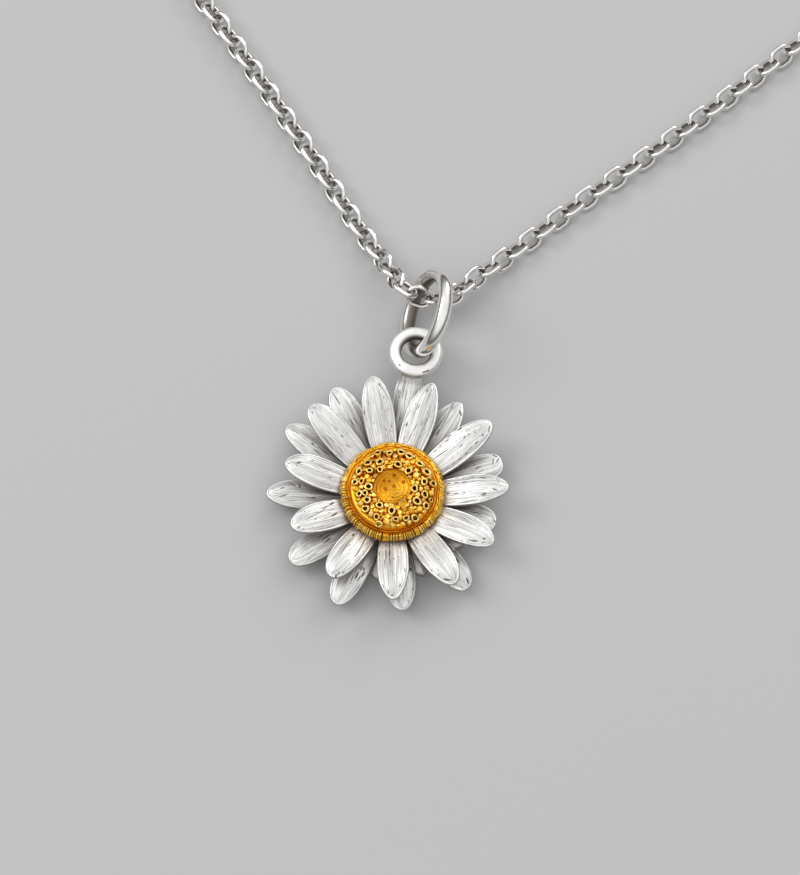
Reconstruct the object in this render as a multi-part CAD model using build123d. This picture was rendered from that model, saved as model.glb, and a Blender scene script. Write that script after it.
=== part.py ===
from build123d import *
import os
from math import cos, pi, radians, sin, tan

# Daisy pendant on a fine chain, lying face up on a flat surface. Millimetres.
# The origin is on the flower's axis at its flat back. +Y runs from the flower to its hanging loop
# and the chain, and +Z leaves the flower's face. Directions round the flower are in degrees,
# clockwise from +Y as seen from above.

# Petals
FRONT_REACH = 8.40
BACK_REACH = 8.90
PETAL_WIDTH = 2.20
PETAL_THICKNESS = 0.65
FRONT_RISE = 1.45
BACK_RISE = 0.65
LAYER_STEP = 0.55
FRONT_ROOT_DEPTH = 1.00
BACK_ROOT_DEPTH = 0.70

# Columns: direction, reach as a share of FRONT_REACH, tip's lift as a share of PETAL_THICKNESS
FRONT_PETALS = [
    (-18.9, 1.00, 0.10),
    (10.9, 0.98, 0.20),
    (46.0, 1.00, 0.15),
    (80.0, 0.96, 0.00),
    (110.2, 0.95, -0.15),
    (138.7, 0.96, -0.25),
    (170.4, 0.95, -0.20),
    (204.5, 0.91, -0.10),
    (239.2, 0.89, 0.00),
    (275.4, 0.91, 0.05),
    (307.6, 0.99, 0.15),
]

# Columns: direction, reach as a share of BACK_REACH, tip's lift as a share of PETAL_THICKNESS
BACK_PETALS = [
    (26.2, 0.93, 0.25),
    (63.7, 0.90, 0.15),
    (97.3, 0.84, 0.10),
    (133.5, 0.96, 0.00),
    (165.9, 0.94, -0.10),
    (197.0, 0.99, -0.10),
    (226.1, 0.96, 0.00),
    (261.5, 0.98, 0.15),
    (294.8, 1.00, 0.20),
    (323.3, 1.00, 0.20),
]

# The back petal that carries the hanging loop: direction and reach as a share of BACK_REACH
LOOP_PETAL = (0.0, 0.98)

# Columns: place from root to tip, width as a share of PETAL_WIDTH,
# thickness as a share of PETAL_THICKNESS, height as a share of the layer's rise
PETAL_SECTIONS = [
    (0.00, 0.58, 0.80, 0.00),
    (0.24, 0.84, 0.92, 0.14),
    (0.52, 1.00, 1.00, 0.48),
    (0.76, 0.86, 0.90, 0.80),
    (0.92, 0.52, 0.66, 0.96),
    (1.00, 0.20, 0.40, 1.00),
]

# Shares of a petal section: the folds' places across it and the heights up it
FOLD_PLACE = 0.36
FOLD_HEIGHT = 0.90
FLANK_HEIGHT = 0.84
EDGE_TOP = 0.56
EDGE_BOTTOM = 0.16

# Calyx, the pointed plate behind the petals, and the hub that joins everything
CALYX_THICKNESS = 0.60
CALYX_REACH = 6.00
CALYX_VALLEY = 5.00
BACK_PETAL_SINK = 0.20
HUB_OVER_ROOTS = 0.04

# Hanging loop
LOOP_WIRE = 0.86
LOOP_HOLE = 2.04
LOOP_HEIGHT = 2.30
TIP_TO_HOLE = 0.53

# Gold centre
SEAT_GAP = 0.05
PEG_RADIUS = 1.50
PEG_LENGTH = 1.10
COLLAR_RADIUS = 3.68
COLLAR_OVERHANG = 0.38
COLLAR_HEIGHT = 0.48
COLLAR_FLARE = 0.30
COLLAR_RIM = 0.10
PLEATS = 60
PLEAT_DEPTH = 0.10
GROOVE_WIDTH = 0.26
GROOVE_FLOOR = 0.30
DOME_WALL = 0.78
DOME_HEIGHT = 1.15
CUP_RADIUS = 1.33
CUP_DEPTH = 0.42
FLORET_DEPTH = 0.30
FLORET_TILT = 40

# Columns: ring's place as a share from the cup's edge to the dome's, florets round it,
# tube's radius, hole's radius, height out of the dome
FLORET_RINGS = [
    (0.14, 14, 0.27, 0.15, 0.28),
    (0.50, 19, 0.28, 0.16, 0.26),
    (0.86, 24, 0.26, 0.14, 0.22),
]

# Bail ring, which leans on its edge, holds the hanging loop and lets the chain run through it
RING_WIRE = 1.05
RING_OUTER = 6.69
RING_LEAN = 27.5
RING_TURN = 3.0
RING_SIDEWAYS = 0.30
RING_SET_BACK = 0.06

# Chain links
LINK_LENGTH = 2.10
LINK_WIDTH = 1.72
LINK_WIRE = 0.34
LINK_ROLL = 45
LINK_GAP = 0.12
PUSHED_GAP = 0.14
BEND_EASE = 0.11
LINKS_AT_RING = 3
FIRST_LINK = 0.81
PUSHED_STRETCH = 30.0
LINKED_STRETCH = 141.0
END_LINKS = 3
TUBE_GAP = 0.20

# Clasp, a plain bolt ring with an eye, and the end ring that it takes
CLASP_OUTER = 5.50
CLASP_WIRE = 1.10
CLASP_ROLL = 22
CLASP_SIDEWAYS = -0.60
EYE_OUTER = 2.26
EYE_WIRE = 0.56
EYE_OVERLAP = 0.30
END_RING_OUTER = 3.70
END_RING_WIRE = 0.60
END_RING_ROLL = 55
END_RING_REACH = 1.10
HOLD_GAP = 0.17

# Heights, radii and places that follow from the sizes above
HUB_RADIUS = COLLAR_RADIUS - COLLAR_OVERHANG
FRONT_ROOT = HUB_RADIUS - FRONT_ROOT_DEPTH
BACK_ROOT = HUB_RADIUS - BACK_ROOT_DEPTH
BACK_BASE = CALYX_THICKNESS - BACK_PETAL_SINK
FRONT_BASE = BACK_BASE + LAYER_STEP
ROOT_TOP = FRONT_BASE + PETAL_SECTIONS[1][2] * PETAL_THICKNESS + PETAL_SECTIONS[1][3] * FRONT_RISE
HUB_TOP = ROOT_TOP + HUB_OVER_ROOTS
GOLD_BASE = HUB_TOP + SEAT_GAP
GROOVE_RADIUS = COLLAR_RADIUS - COLLAR_FLARE - PLEAT_DEPTH - COLLAR_RIM
DOME_RADIUS = GROOVE_RADIUS - GROOVE_WIDTH
LOOP_RADIUS = (LOOP_HOLE + LOOP_WIRE) / 2
LOOP_PLACE = LOOP_PETAL[1] * BACK_REACH + TIP_TO_HOLE + LOOP_HOLE / 2
RING_RADIUS = (RING_OUTER - RING_WIRE) / 2
RING_HEIGHT = RING_RADIUS * cos(radians(RING_LEAN)) + RING_WIRE / 2
RING_PLACE = LOOP_PLACE + RING_RADIUS - RING_SET_BACK
LINK_BEND = (LINK_WIDTH - LINK_WIRE) / 2
LINK_STRAIGHT = LINK_LENGTH - LINK_WIDTH
LINK_BARS = LINK_LENGTH - LINK_WIRE
PITCH = LINK_LENGTH - 2 * LINK_WIRE - LINK_GAP
PITCH_PUSHED = (LINK_LENGTH + PUSHED_GAP) / 2
PITCH_AT_RING = PITCH - BEND_EASE
CHAIN_LIE = LINK_BEND * sin(radians(LINK_ROLL)) + LINK_WIRE / 2
CLASP_RADIUS = (CLASP_OUTER - CLASP_WIRE) / 2
CLASP_HEIGHT = CLASP_RADIUS * sin(radians(CLASP_ROLL)) + CLASP_WIRE / 2
EYE_RADIUS = (EYE_OUTER - EYE_WIRE) / 2
EYE_SIDEWAYS = CLASP_SIDEWAYS - CLASP_OUTER / 2 + EYE_OVERLAP - EYE_OUTER / 2
END_RING_RADIUS = (END_RING_OUTER - END_RING_WIRE) / 2
END_RING_HEIGHT = END_RING_RADIUS * sin(radians(END_RING_ROLL)) + END_RING_WIRE / 2
END_RING_SIDEWAYS = CLASP_SIDEWAYS + CLASP_RADIUS - END_RING_REACH + END_RING_RADIUS
LINK_IN_EYE = EYE_WIRE / 2 + LINK_WIRE / 2 + HOLD_GAP
LINK_IN_RING = END_RING_WIRE / 2 + LINK_WIRE / 2 + HOLD_GAP
LEFT_END = EYE_SIDEWAYS - EYE_RADIUS + LINK_IN_EYE - LINK_BARS / 2 + LINK_BEND
RIGHT_END = END_RING_SIDEWAYS + END_RING_RADIUS - LINK_IN_RING + LINK_BARS / 2 - LINK_BEND
FAR_PLACE = 162.0

# The chain's route, from the clasp's eye down the left side, through the bail ring and back up
# the right side to the end ring
CHAIN_MIDDLE = (-0.02, 14.29, 2.35)
CHAIN_ROUTE = [
    (LEFT_END, FAR_PLACE, CLASP_HEIGHT),
    (-10.50, FAR_PLACE - 0.30, CHAIN_LIE),
    (-24.00, 158.50, CHAIN_LIE),
    (-47.00, 142.00, CHAIN_LIE),
    (-61.50, 109.00, CHAIN_LIE),
    (-56.00, 76.00, CHAIN_LIE),
    (-39.50, 57.40, CHAIN_LIE),
    (-25.80, 42.10, CHAIN_LIE),
    (-15.90, 31.50, CHAIN_LIE),
    (-9.14, 23.83, CHAIN_LIE),
    (-5.60, 19.60, CHAIN_LIE),
    (-3.47, 17.22, 1.13),
    (-1.69, 14.67, 2.94),
    CHAIN_MIDDLE,
    (1.78, 14.80, 2.21),
    (3.02, 16.57, 1.58),
    (5.60, 19.60, CHAIN_LIE),
    (9.00, 23.45, CHAIN_LIE),
    (15.50, 30.10, CHAIN_LIE),
    (26.00, 41.90, CHAIN_LIE),
    (40.00, 57.00, CHAIN_LIE),
    (56.50, 76.00, CHAIN_LIE),
    (62.00, 109.00, CHAIN_LIE),
    (47.50, 142.00, CHAIN_LIE),
    (25.00, 158.50, CHAIN_LIE),
    (11.50, FAR_PLACE - 0.30, CHAIN_LIE),
    (RIGHT_END, FAR_PLACE, END_RING_HEIGHT),
]

# Each arc of a route takes this share of the shorter run beside it
ARC_SHARE = 0.45


def outward(direction):
    """Unit vector in a direction round the flower, clockwise from +Y."""
    return Vector(sin(radians(direction)), cos(radians(direction)), 0)


def torus(radius, wire, centre, normal):
    """Closed ring of round wire about a centre."""
    return Solid.make_torus(radius, wire / 2, Plane(origin=centre, z_dir=normal))


def petal_section(direction, place, low, width, thickness):
    """Outline across a petal: a bowed underside, thin edges and a crown with two folds."""
    half = width / 2
    fold = half * FOLD_PLACE
    flank = (half + fold) / 2
    under = thickness * EDGE_BOTTOM
    edge = thickness * EDGE_TOP
    valley = thickness * FOLD_HEIGHT
    shoulder = thickness * FLANK_HEIGHT
    outline = Wire([
        Edge.make_three_point_arc((-half, under), (0, 0), (half, under)),
        Edge.make_line((half, under), (half, edge)),
        Edge.make_three_point_arc((half, edge), (flank, shoulder), (fold, valley)),
        Edge.make_three_point_arc((fold, valley), (0, thickness), (-fold, valley)),
        Edge.make_three_point_arc((-fold, valley), (-flank, shoulder), (-half, edge)),
        Edge.make_line((-half, edge), (-half, under)),
    ])
    out = outward(direction)
    across = Vector(-out.Y, out.X, 0)
    plane = Plane(origin=out * place + Vector(0, 0, low), x_dir=across, z_dir=out)
    return outline.moved(plane.location)


def petal(direction, root, reach, base, rise, lift):
    """One petal, lofted from its root to its blunt tip, rising outwards, its lift mostly near the tip."""
    sections = [
        petal_section(
            direction,
            root + place * (reach - root),
            base + height * rise + lift * place ** 4,
            width * PETAL_WIDTH,
            thickness * PETAL_THICKNESS,
        )
        for place, width, thickness, height in PETAL_SECTIONS
    ]
    return Solid.make_loft(sections)


def petals():
    """All petals of both rings, the one under the hanging loop raised to it."""
    shapes = []
    for direction, share, lift in FRONT_PETALS:
        reach = share * FRONT_REACH
        shapes.append(petal(direction, FRONT_ROOT, reach, FRONT_BASE, FRONT_RISE, lift * PETAL_THICKNESS))
    for direction, share, lift in BACK_PETALS:
        reach = share * BACK_REACH
        shapes.append(petal(direction, BACK_ROOT, reach, BACK_BASE, BACK_RISE, lift * PETAL_THICKNESS))
    direction, share = LOOP_PETAL
    lift = LOOP_HEIGHT - BACK_BASE - BACK_RISE - LOOP_WIRE / 4
    shapes.append(petal(direction, BACK_ROOT, share * BACK_REACH, BACK_BASE, BACK_RISE, lift))
    return shapes


def calyx():
    """Flat plate with one point between each two back petals."""
    directions = [LOOP_PETAL[0]] + [row[0] for row in BACK_PETALS]
    corners = []
    for direction, following in zip(directions, directions[1:] + [directions[0] + 360]):
        corners.append(outward(direction) * CALYX_VALLEY)
        corners.append(outward((direction + following) / 2) * CALYX_REACH)
    plate = Face(Wire.make_polygon(corners, close=True))
    return Solid.extrude(plate, Vector(0, 0, CALYX_THICKNESS))


def flower():
    """Silver casting: calyx, petals, hub and hanging loop, with a socket for the gold centre."""
    hub = Solid.make_cylinder(HUB_RADIUS, HUB_TOP)
    loop = torus(LOOP_RADIUS, LOOP_WIRE, (0, LOOP_PLACE, LOOP_HEIGHT), (0, 0, 1))
    floor = Plane((0, 0, GOLD_BASE - PEG_LENGTH - SEAT_GAP))
    socket = Solid.make_cylinder(PEG_RADIUS + SEAT_GAP, PEG_LENGTH + SEAT_GAP, floor)
    return calyx().fuse(hub, *petals(), loop).cut(socket)


def pleated_ring(radius, height):
    """Closed outline with a fold in and a fold out for each pleat."""
    corners = []
    for step in range(2 * PLEATS):
        inset = PLEAT_DEPTH if step % 2 else 0
        corners.append(outward(step * 180 / PLEATS) * (radius - inset) + Vector(0, 0, height))
    return Wire.make_polygon(corners, close=True)


def collar():
    """Flared collar with a pleated outside, a plain rim and a groove inside the rim."""
    low = pleated_ring(COLLAR_RADIUS, GOLD_BASE)
    high = pleated_ring(COLLAR_RADIUS - COLLAR_FLARE, GOLD_BASE + COLLAR_HEIGHT)
    groove = Solid.make_cylinder(GROOVE_RADIUS, COLLAR_HEIGHT, Plane((0, 0, GOLD_BASE + GROOVE_FLOOR)))
    return Solid.make_loft([low, high], ruled=True).cut(groove)


def dome_height(radius):
    """Height of the floret bed over the gold base: a quarter cosine from the cup's edge to the wall."""
    share = (radius - CUP_RADIUS) / (DOME_RADIUS - CUP_RADIUS)
    return DOME_WALL + (DOME_HEIGHT - DOME_WALL) * cos(share * pi / 2)


def dome():
    """Turned bed of the florets, with a round shoulder, an upright wall and the cup in its middle."""
    middle = (CUP_RADIUS + DOME_RADIUS) / 2
    cup_floor = DOME_HEIGHT - CUP_DEPTH
    cup_edge = (CUP_RADIUS, dome_height(CUP_RADIUS))
    wall_top = (DOME_RADIUS, DOME_WALL)
    outline = Wire([
        Edge.make_line((0, 0), (0, cup_floor)),
        Edge.make_three_point_arc((0, cup_floor), (CUP_RADIUS / 2, cup_floor + CUP_DEPTH / 8), cup_edge),
        Edge.make_three_point_arc(cup_edge, (middle, dome_height(middle)), wall_top),
        Edge.make_line(wall_top, (DOME_RADIUS, 0)),
        Edge.make_line((DOME_RADIUS, 0), (0, 0)),
    ])
    section = Face(outline.moved(Location((0, 0, GOLD_BASE), (90, 0, 0))))
    return Solid.revolve(section, 360, Axis.Z)


def floret_planes():
    """Foot plane and sizes of each floret tube, each ring half a step round from the last."""
    for index, (share, count, tube, hole, rise) in enumerate(FLORET_RINGS):
        radius = CUP_RADIUS + share * (DOME_RADIUS - CUP_RADIUS)
        tilt = radians(share * FLORET_TILT)
        for step in range(count):
            out = outward((step + index / 2) * 360 / count)
            foot = out * radius + Vector(0, 0, GOLD_BASE + dome_height(radius))
            yield Plane(origin=foot, z_dir=out * sin(tilt) + Vector(0, 0, cos(tilt))), tube, hole, rise


def flower_centre():
    """Gold centre: peg, pleated collar, and a dome of open floret tubes round a cup."""
    peg = Solid.make_cylinder(PEG_RADIUS, PEG_LENGTH, Plane((0, 0, GOLD_BASE - PEG_LENGTH)))
    tubes = []
    holes = []
    for plane, tube, hole, rise in floret_planes():
        length = FLORET_DEPTH + rise
        tubes.append(Solid.make_cylinder(tube, length, plane.offset(-FLORET_DEPTH)))
        holes.append(Solid.make_cylinder(hole, length, plane.offset(rise - FLORET_DEPTH)))
    return dome().fuse(collar(), peg, *tubes).cut(*holes)


def bail_ring():
    """Round jump ring that leans sideways, its lower limb on the surface and under the chain."""
    lean = radians(RING_LEAN)
    across = outward(90 - RING_TURN)
    normal = across * cos(lean) - Vector(0, 0, sin(lean))
    return torus(RING_RADIUS, RING_WIRE, (RING_SIDEWAYS, RING_PLACE, RING_HEIGHT), normal)


def link():
    """One oval link about the origin, long in X, in the XY plane: two bends and two bars."""
    pieces = []
    for side in (1, -1):
        bend = Plane(origin=(side * LINK_STRAIGHT / 2, 0, 0), x_dir=(0, -side, 0), z_dir=(0, 0, 1))
        pieces.append(Solid.make_torus(LINK_BEND, LINK_WIRE / 2, bend, major_angle=180))
        bar = Plane(origin=(-LINK_STRAIGHT / 2, side * LINK_BEND, 0), z_dir=(1, 0, 0))
        pieces.append(Solid.make_cylinder(LINK_WIRE / 2, LINK_STRAIGHT, bar))
    return pieces[0].fuse(*pieces[1:]).solid()


def route_path():
    """The chain's route as straight runs joined by arcs as large as their two runs allow."""
    points = [Vector(*point) for point in CHAIN_ROUTE]
    radii = []
    for before, corner, after in zip(points, points[1:], points[2:]):
        half_turn = radians((corner - before).get_angle(after - corner)) / 2
        shorter = min((corner - before).length, (after - corner).length)
        radii.append(ARC_SHARE * shorter / tan(half_turn))
    print("route radii", [round(radius, 1) for radius in radii])
    return FilletPolyline(*points, radius=radii)


def on_route(path, distance):
    """Point at a distance along the route."""
    return path.position_at(distance, PositionMode.LENGTH)


def middle_distance(path):
    """Distance along the route to the point nearest its middle, found with halving steps."""
    middle = Vector(*CHAIN_MIDDLE)
    place = path.length / 2
    step = path.length / 8
    while step > LINK_GAP / 10:
        near = min((place, place - step, place + step), key=lambda d: (on_route(path, d) - middle).length)
        if near == place:
            step /= 2
        place = near
    return place


def link_on_route(path, distance, count, template):
    """A link set on the route, rolled to one side or the other by its count."""
    reach = LINK_BEND / 2
    along = (on_route(path, distance + reach) - on_route(path, distance - reach)).normalized()
    side = Vector(0, 0, 1).cross(along).normalized()
    above = along.cross(side)
    roll = radians(LINK_ROLL if count % 2 else -LINK_ROLL)
    flat = side * cos(roll) + above * sin(roll)
    plane = Plane(origin=on_route(path, distance), x_dir=along, z_dir=along.cross(flat))
    return template.moved(plane.location)


def chain_half(path, first, side, pushed):
    """Links from the bail ring outwards, a plain stretch as a tube, and the last links at the end.

    side is 1 towards the route's end and -1 towards its start. Links are pushed together over
    the first stretch where pushed says so.
    """
    template = link()
    links = []
    distance = first
    while abs(distance - first) < LINKED_STRETCH:
        count = len(links)
        links.append(link_on_route(path, distance, count + (side < 0), template))
        step = PITCH_PUSHED if pushed and abs(distance - first) < PUSHED_STRETCH else PITCH
        distance += side * (PITCH_AT_RING if count < LINKS_AT_RING else step)
    tube_from = distance - side * (PITCH - LINK_LENGTH / 2 - TUBE_GAP)
    last = path.length - LINK_BEND if side > 0 else LINK_BEND
    for count in range(END_LINKS):
        links.append(link_on_route(path, last - side * count * PITCH, count + (side < 0), template))
    tube_to = last - side * ((END_LINKS - 1) * PITCH + LINK_LENGTH / 2 + TUBE_GAP)
    stretch = path.trim(min(tube_from, tube_to) / path.length, max(tube_from, tube_to) / path.length)
    section = Face(Wire.make_circle(CHAIN_LIE, Plane(origin=stretch @ 0, z_dir=stretch % 0)))
    tube = Solid.sweep(section, stretch)
    print("tube volume %.2f, section by length %.2f" % (tube.volume, section.area * stretch.length))
    return Compound([*links, tube])


def flat_normal(roll):
    """Normal of a ring that lies along X, rolled up from the surface by an angle."""
    return Vector(0, -sin(radians(roll)), cos(radians(roll)))


def clasp():
    """Bolt ring that leans on its edge, with the eye that the left half is linked to."""
    normal = flat_normal(CLASP_ROLL)
    ring = torus(CLASP_RADIUS, CLASP_WIRE, (CLASP_SIDEWAYS, FAR_PLACE, CLASP_HEIGHT), normal)
    eye = torus(EYE_RADIUS, EYE_WIRE, (EYE_SIDEWAYS, FAR_PLACE, CLASP_HEIGHT), normal)
    return ring.fuse(eye)


def end_ring():
    """Jump ring on the right half, closed in the clasp."""
    centre = (END_RING_SIDEWAYS, FAR_PLACE, END_RING_HEIGHT)
    return torus(END_RING_RADIUS, END_RING_WIRE, centre, flat_normal(-END_RING_ROLL))


route = route_path()
ring_distance = middle_distance(route)
first_right = ring_distance + FIRST_LINK
first_left = first_right - PITCH_AT_RING
print("chain length %.1f, middle at %.1f" % (route.length, ring_distance))

nodes = {
    "flower": flower(),
    "flower_centre": flower_centre(),
    "bail_ring": bail_ring(),
    "chain_left": chain_half(route, first_left, -1, pushed=True),
    "chain_right": chain_half(route, first_right, 1, pushed=False),
    "clasp": clasp(),
    "end_ring": end_ring(),
}

os.makedirs("parts", exist_ok=True)
for name, shape in nodes.items():
    export_step(shape, f"parts/{name}.step")
    print(name, len(shape.solids()), "solids, volume %.2f" % shape.volume)
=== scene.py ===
from math import cos, pi, radians, sin

import bpy
import numpy as np
from bpy.props import FloatProperty, FloatVectorProperty, IntProperty, PointerProperty
from mathutils import Matrix, Vector


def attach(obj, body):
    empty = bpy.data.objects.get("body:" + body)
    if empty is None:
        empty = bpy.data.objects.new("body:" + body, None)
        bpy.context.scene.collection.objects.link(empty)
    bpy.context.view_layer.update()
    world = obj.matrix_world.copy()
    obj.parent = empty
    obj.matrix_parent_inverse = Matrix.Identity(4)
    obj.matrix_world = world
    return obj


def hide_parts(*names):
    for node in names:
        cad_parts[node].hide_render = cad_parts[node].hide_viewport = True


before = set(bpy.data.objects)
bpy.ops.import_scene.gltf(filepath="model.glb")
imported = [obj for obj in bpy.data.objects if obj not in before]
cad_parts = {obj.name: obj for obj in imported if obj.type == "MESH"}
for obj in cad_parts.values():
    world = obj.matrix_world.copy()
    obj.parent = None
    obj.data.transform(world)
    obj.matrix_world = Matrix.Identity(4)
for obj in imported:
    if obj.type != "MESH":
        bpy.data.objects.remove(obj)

bl_info = {
    "name": "Daisy Pendant Necklace",
    "version": (1, 0, 0),
    "blender": (4, 5, 0),
    "location": "3D View > Sidebar > Necklace",
    "description": "Dresses the frame of a silver daisy pendant on its chain",
    "category": "Object",
}

# Lengths are in millimetres and are turned into metres where a mesh is made. Directions round the
# flower are in degrees, clockwise from +Y as seen from above.
MM = 0.001

# Petals, as in the frame: their reach, size and rise
FRONT_REACH = 8.40
BACK_REACH = 8.90
PETAL_WIDTH = 2.20
PETAL_THICKNESS = 0.65
FRONT_RISE = 1.45
BACK_RISE = 0.65
FRONT_ROOT = 2.30
BACK_ROOT = 2.60
FRONT_BASE = 0.95
BACK_BASE = 0.40

# Columns: direction, reach as a share of FRONT_REACH, tip's lift as a share of PETAL_THICKNESS,
# roundness of the tip
FRONT_PETALS = [
    (-18.9, 1.00, 0.10, 1.9),
    (10.9, 0.98, 0.20, 1.7),
    (46.0, 1.00, 0.15, 2.0),
    (80.0, 0.96, 0.00, 1.8),
    (110.2, 0.95, -0.15, 2.0),
    (138.7, 0.96, -0.25, 2.1),
    (170.4, 0.95, -0.20, 1.9),
    (204.5, 0.91, -0.10, 2.1),
    (239.2, 0.89, 0.00, 2.0),
    (275.4, 0.91, 0.05, 2.0),
    (307.6, 0.99, 0.15, 2.2),
]

# The same columns, shares of BACK_REACH
BACK_PETALS = [
    (26.2, 0.93, 0.25, 1.8),
    (63.7, 0.90, 0.15, 2.6),
    (97.3, 0.84, 0.10, 2.4),
    (133.5, 0.96, 0.00, 2.4),
    (165.9, 0.94, -0.10, 2.2),
    (197.0, 0.99, -0.10, 2.2),
    (226.1, 0.96, 0.00, 2.3),
    (261.5, 0.98, 0.15, 2.0),
    (294.8, 1.00, 0.20, 2.1),
    (323.3, 1.00, 0.20, 2.1),
]

# Outline of a petal: the steps up one side, the share of them spent on the root, the root's width
# as a share of the petal's, and the widest place and the spine's ends as shares of its length
SIDE_STEPS = 78
ROOT_PART = 0.06
ROOT_WIDTH = 0.62
WIDEST_PLACE = 0.55
SPINE_FROM = 0.03
SPINE_TO = 0.88

# Section of a petal: where its edge begins and ends and the top of its spine, as shares of its
# thickness there. That is PETAL_THICKNESS at the thickest place, a share of the petal's length, and
# thins by these shares towards root and tip.
EDGE_BOTTOM = 0.16
EDGE_TOP = 0.62
SPINE_TOP = 0.94
ROOT_THINNING = 0.20
TIP_THINNING = 0.60
THICKEST_PLACE = 0.52

# Relief of a petal: folds to the mm across it, and how far its edge bulges
FOLD_WAVES = (1.1, 1.9, 3.1)
EDGE_BULGE = 0.02

# Marks in a petal: their depth in mm, the spread of their bell as a share of their width, its
# strength, and how much they narrow towards their ends
MARK_DEPTH = 0.07
MARK_SPREAD = 0.46
MARK_STRENGTH = 0.90
MARK_TAPER = 0.45

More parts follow.
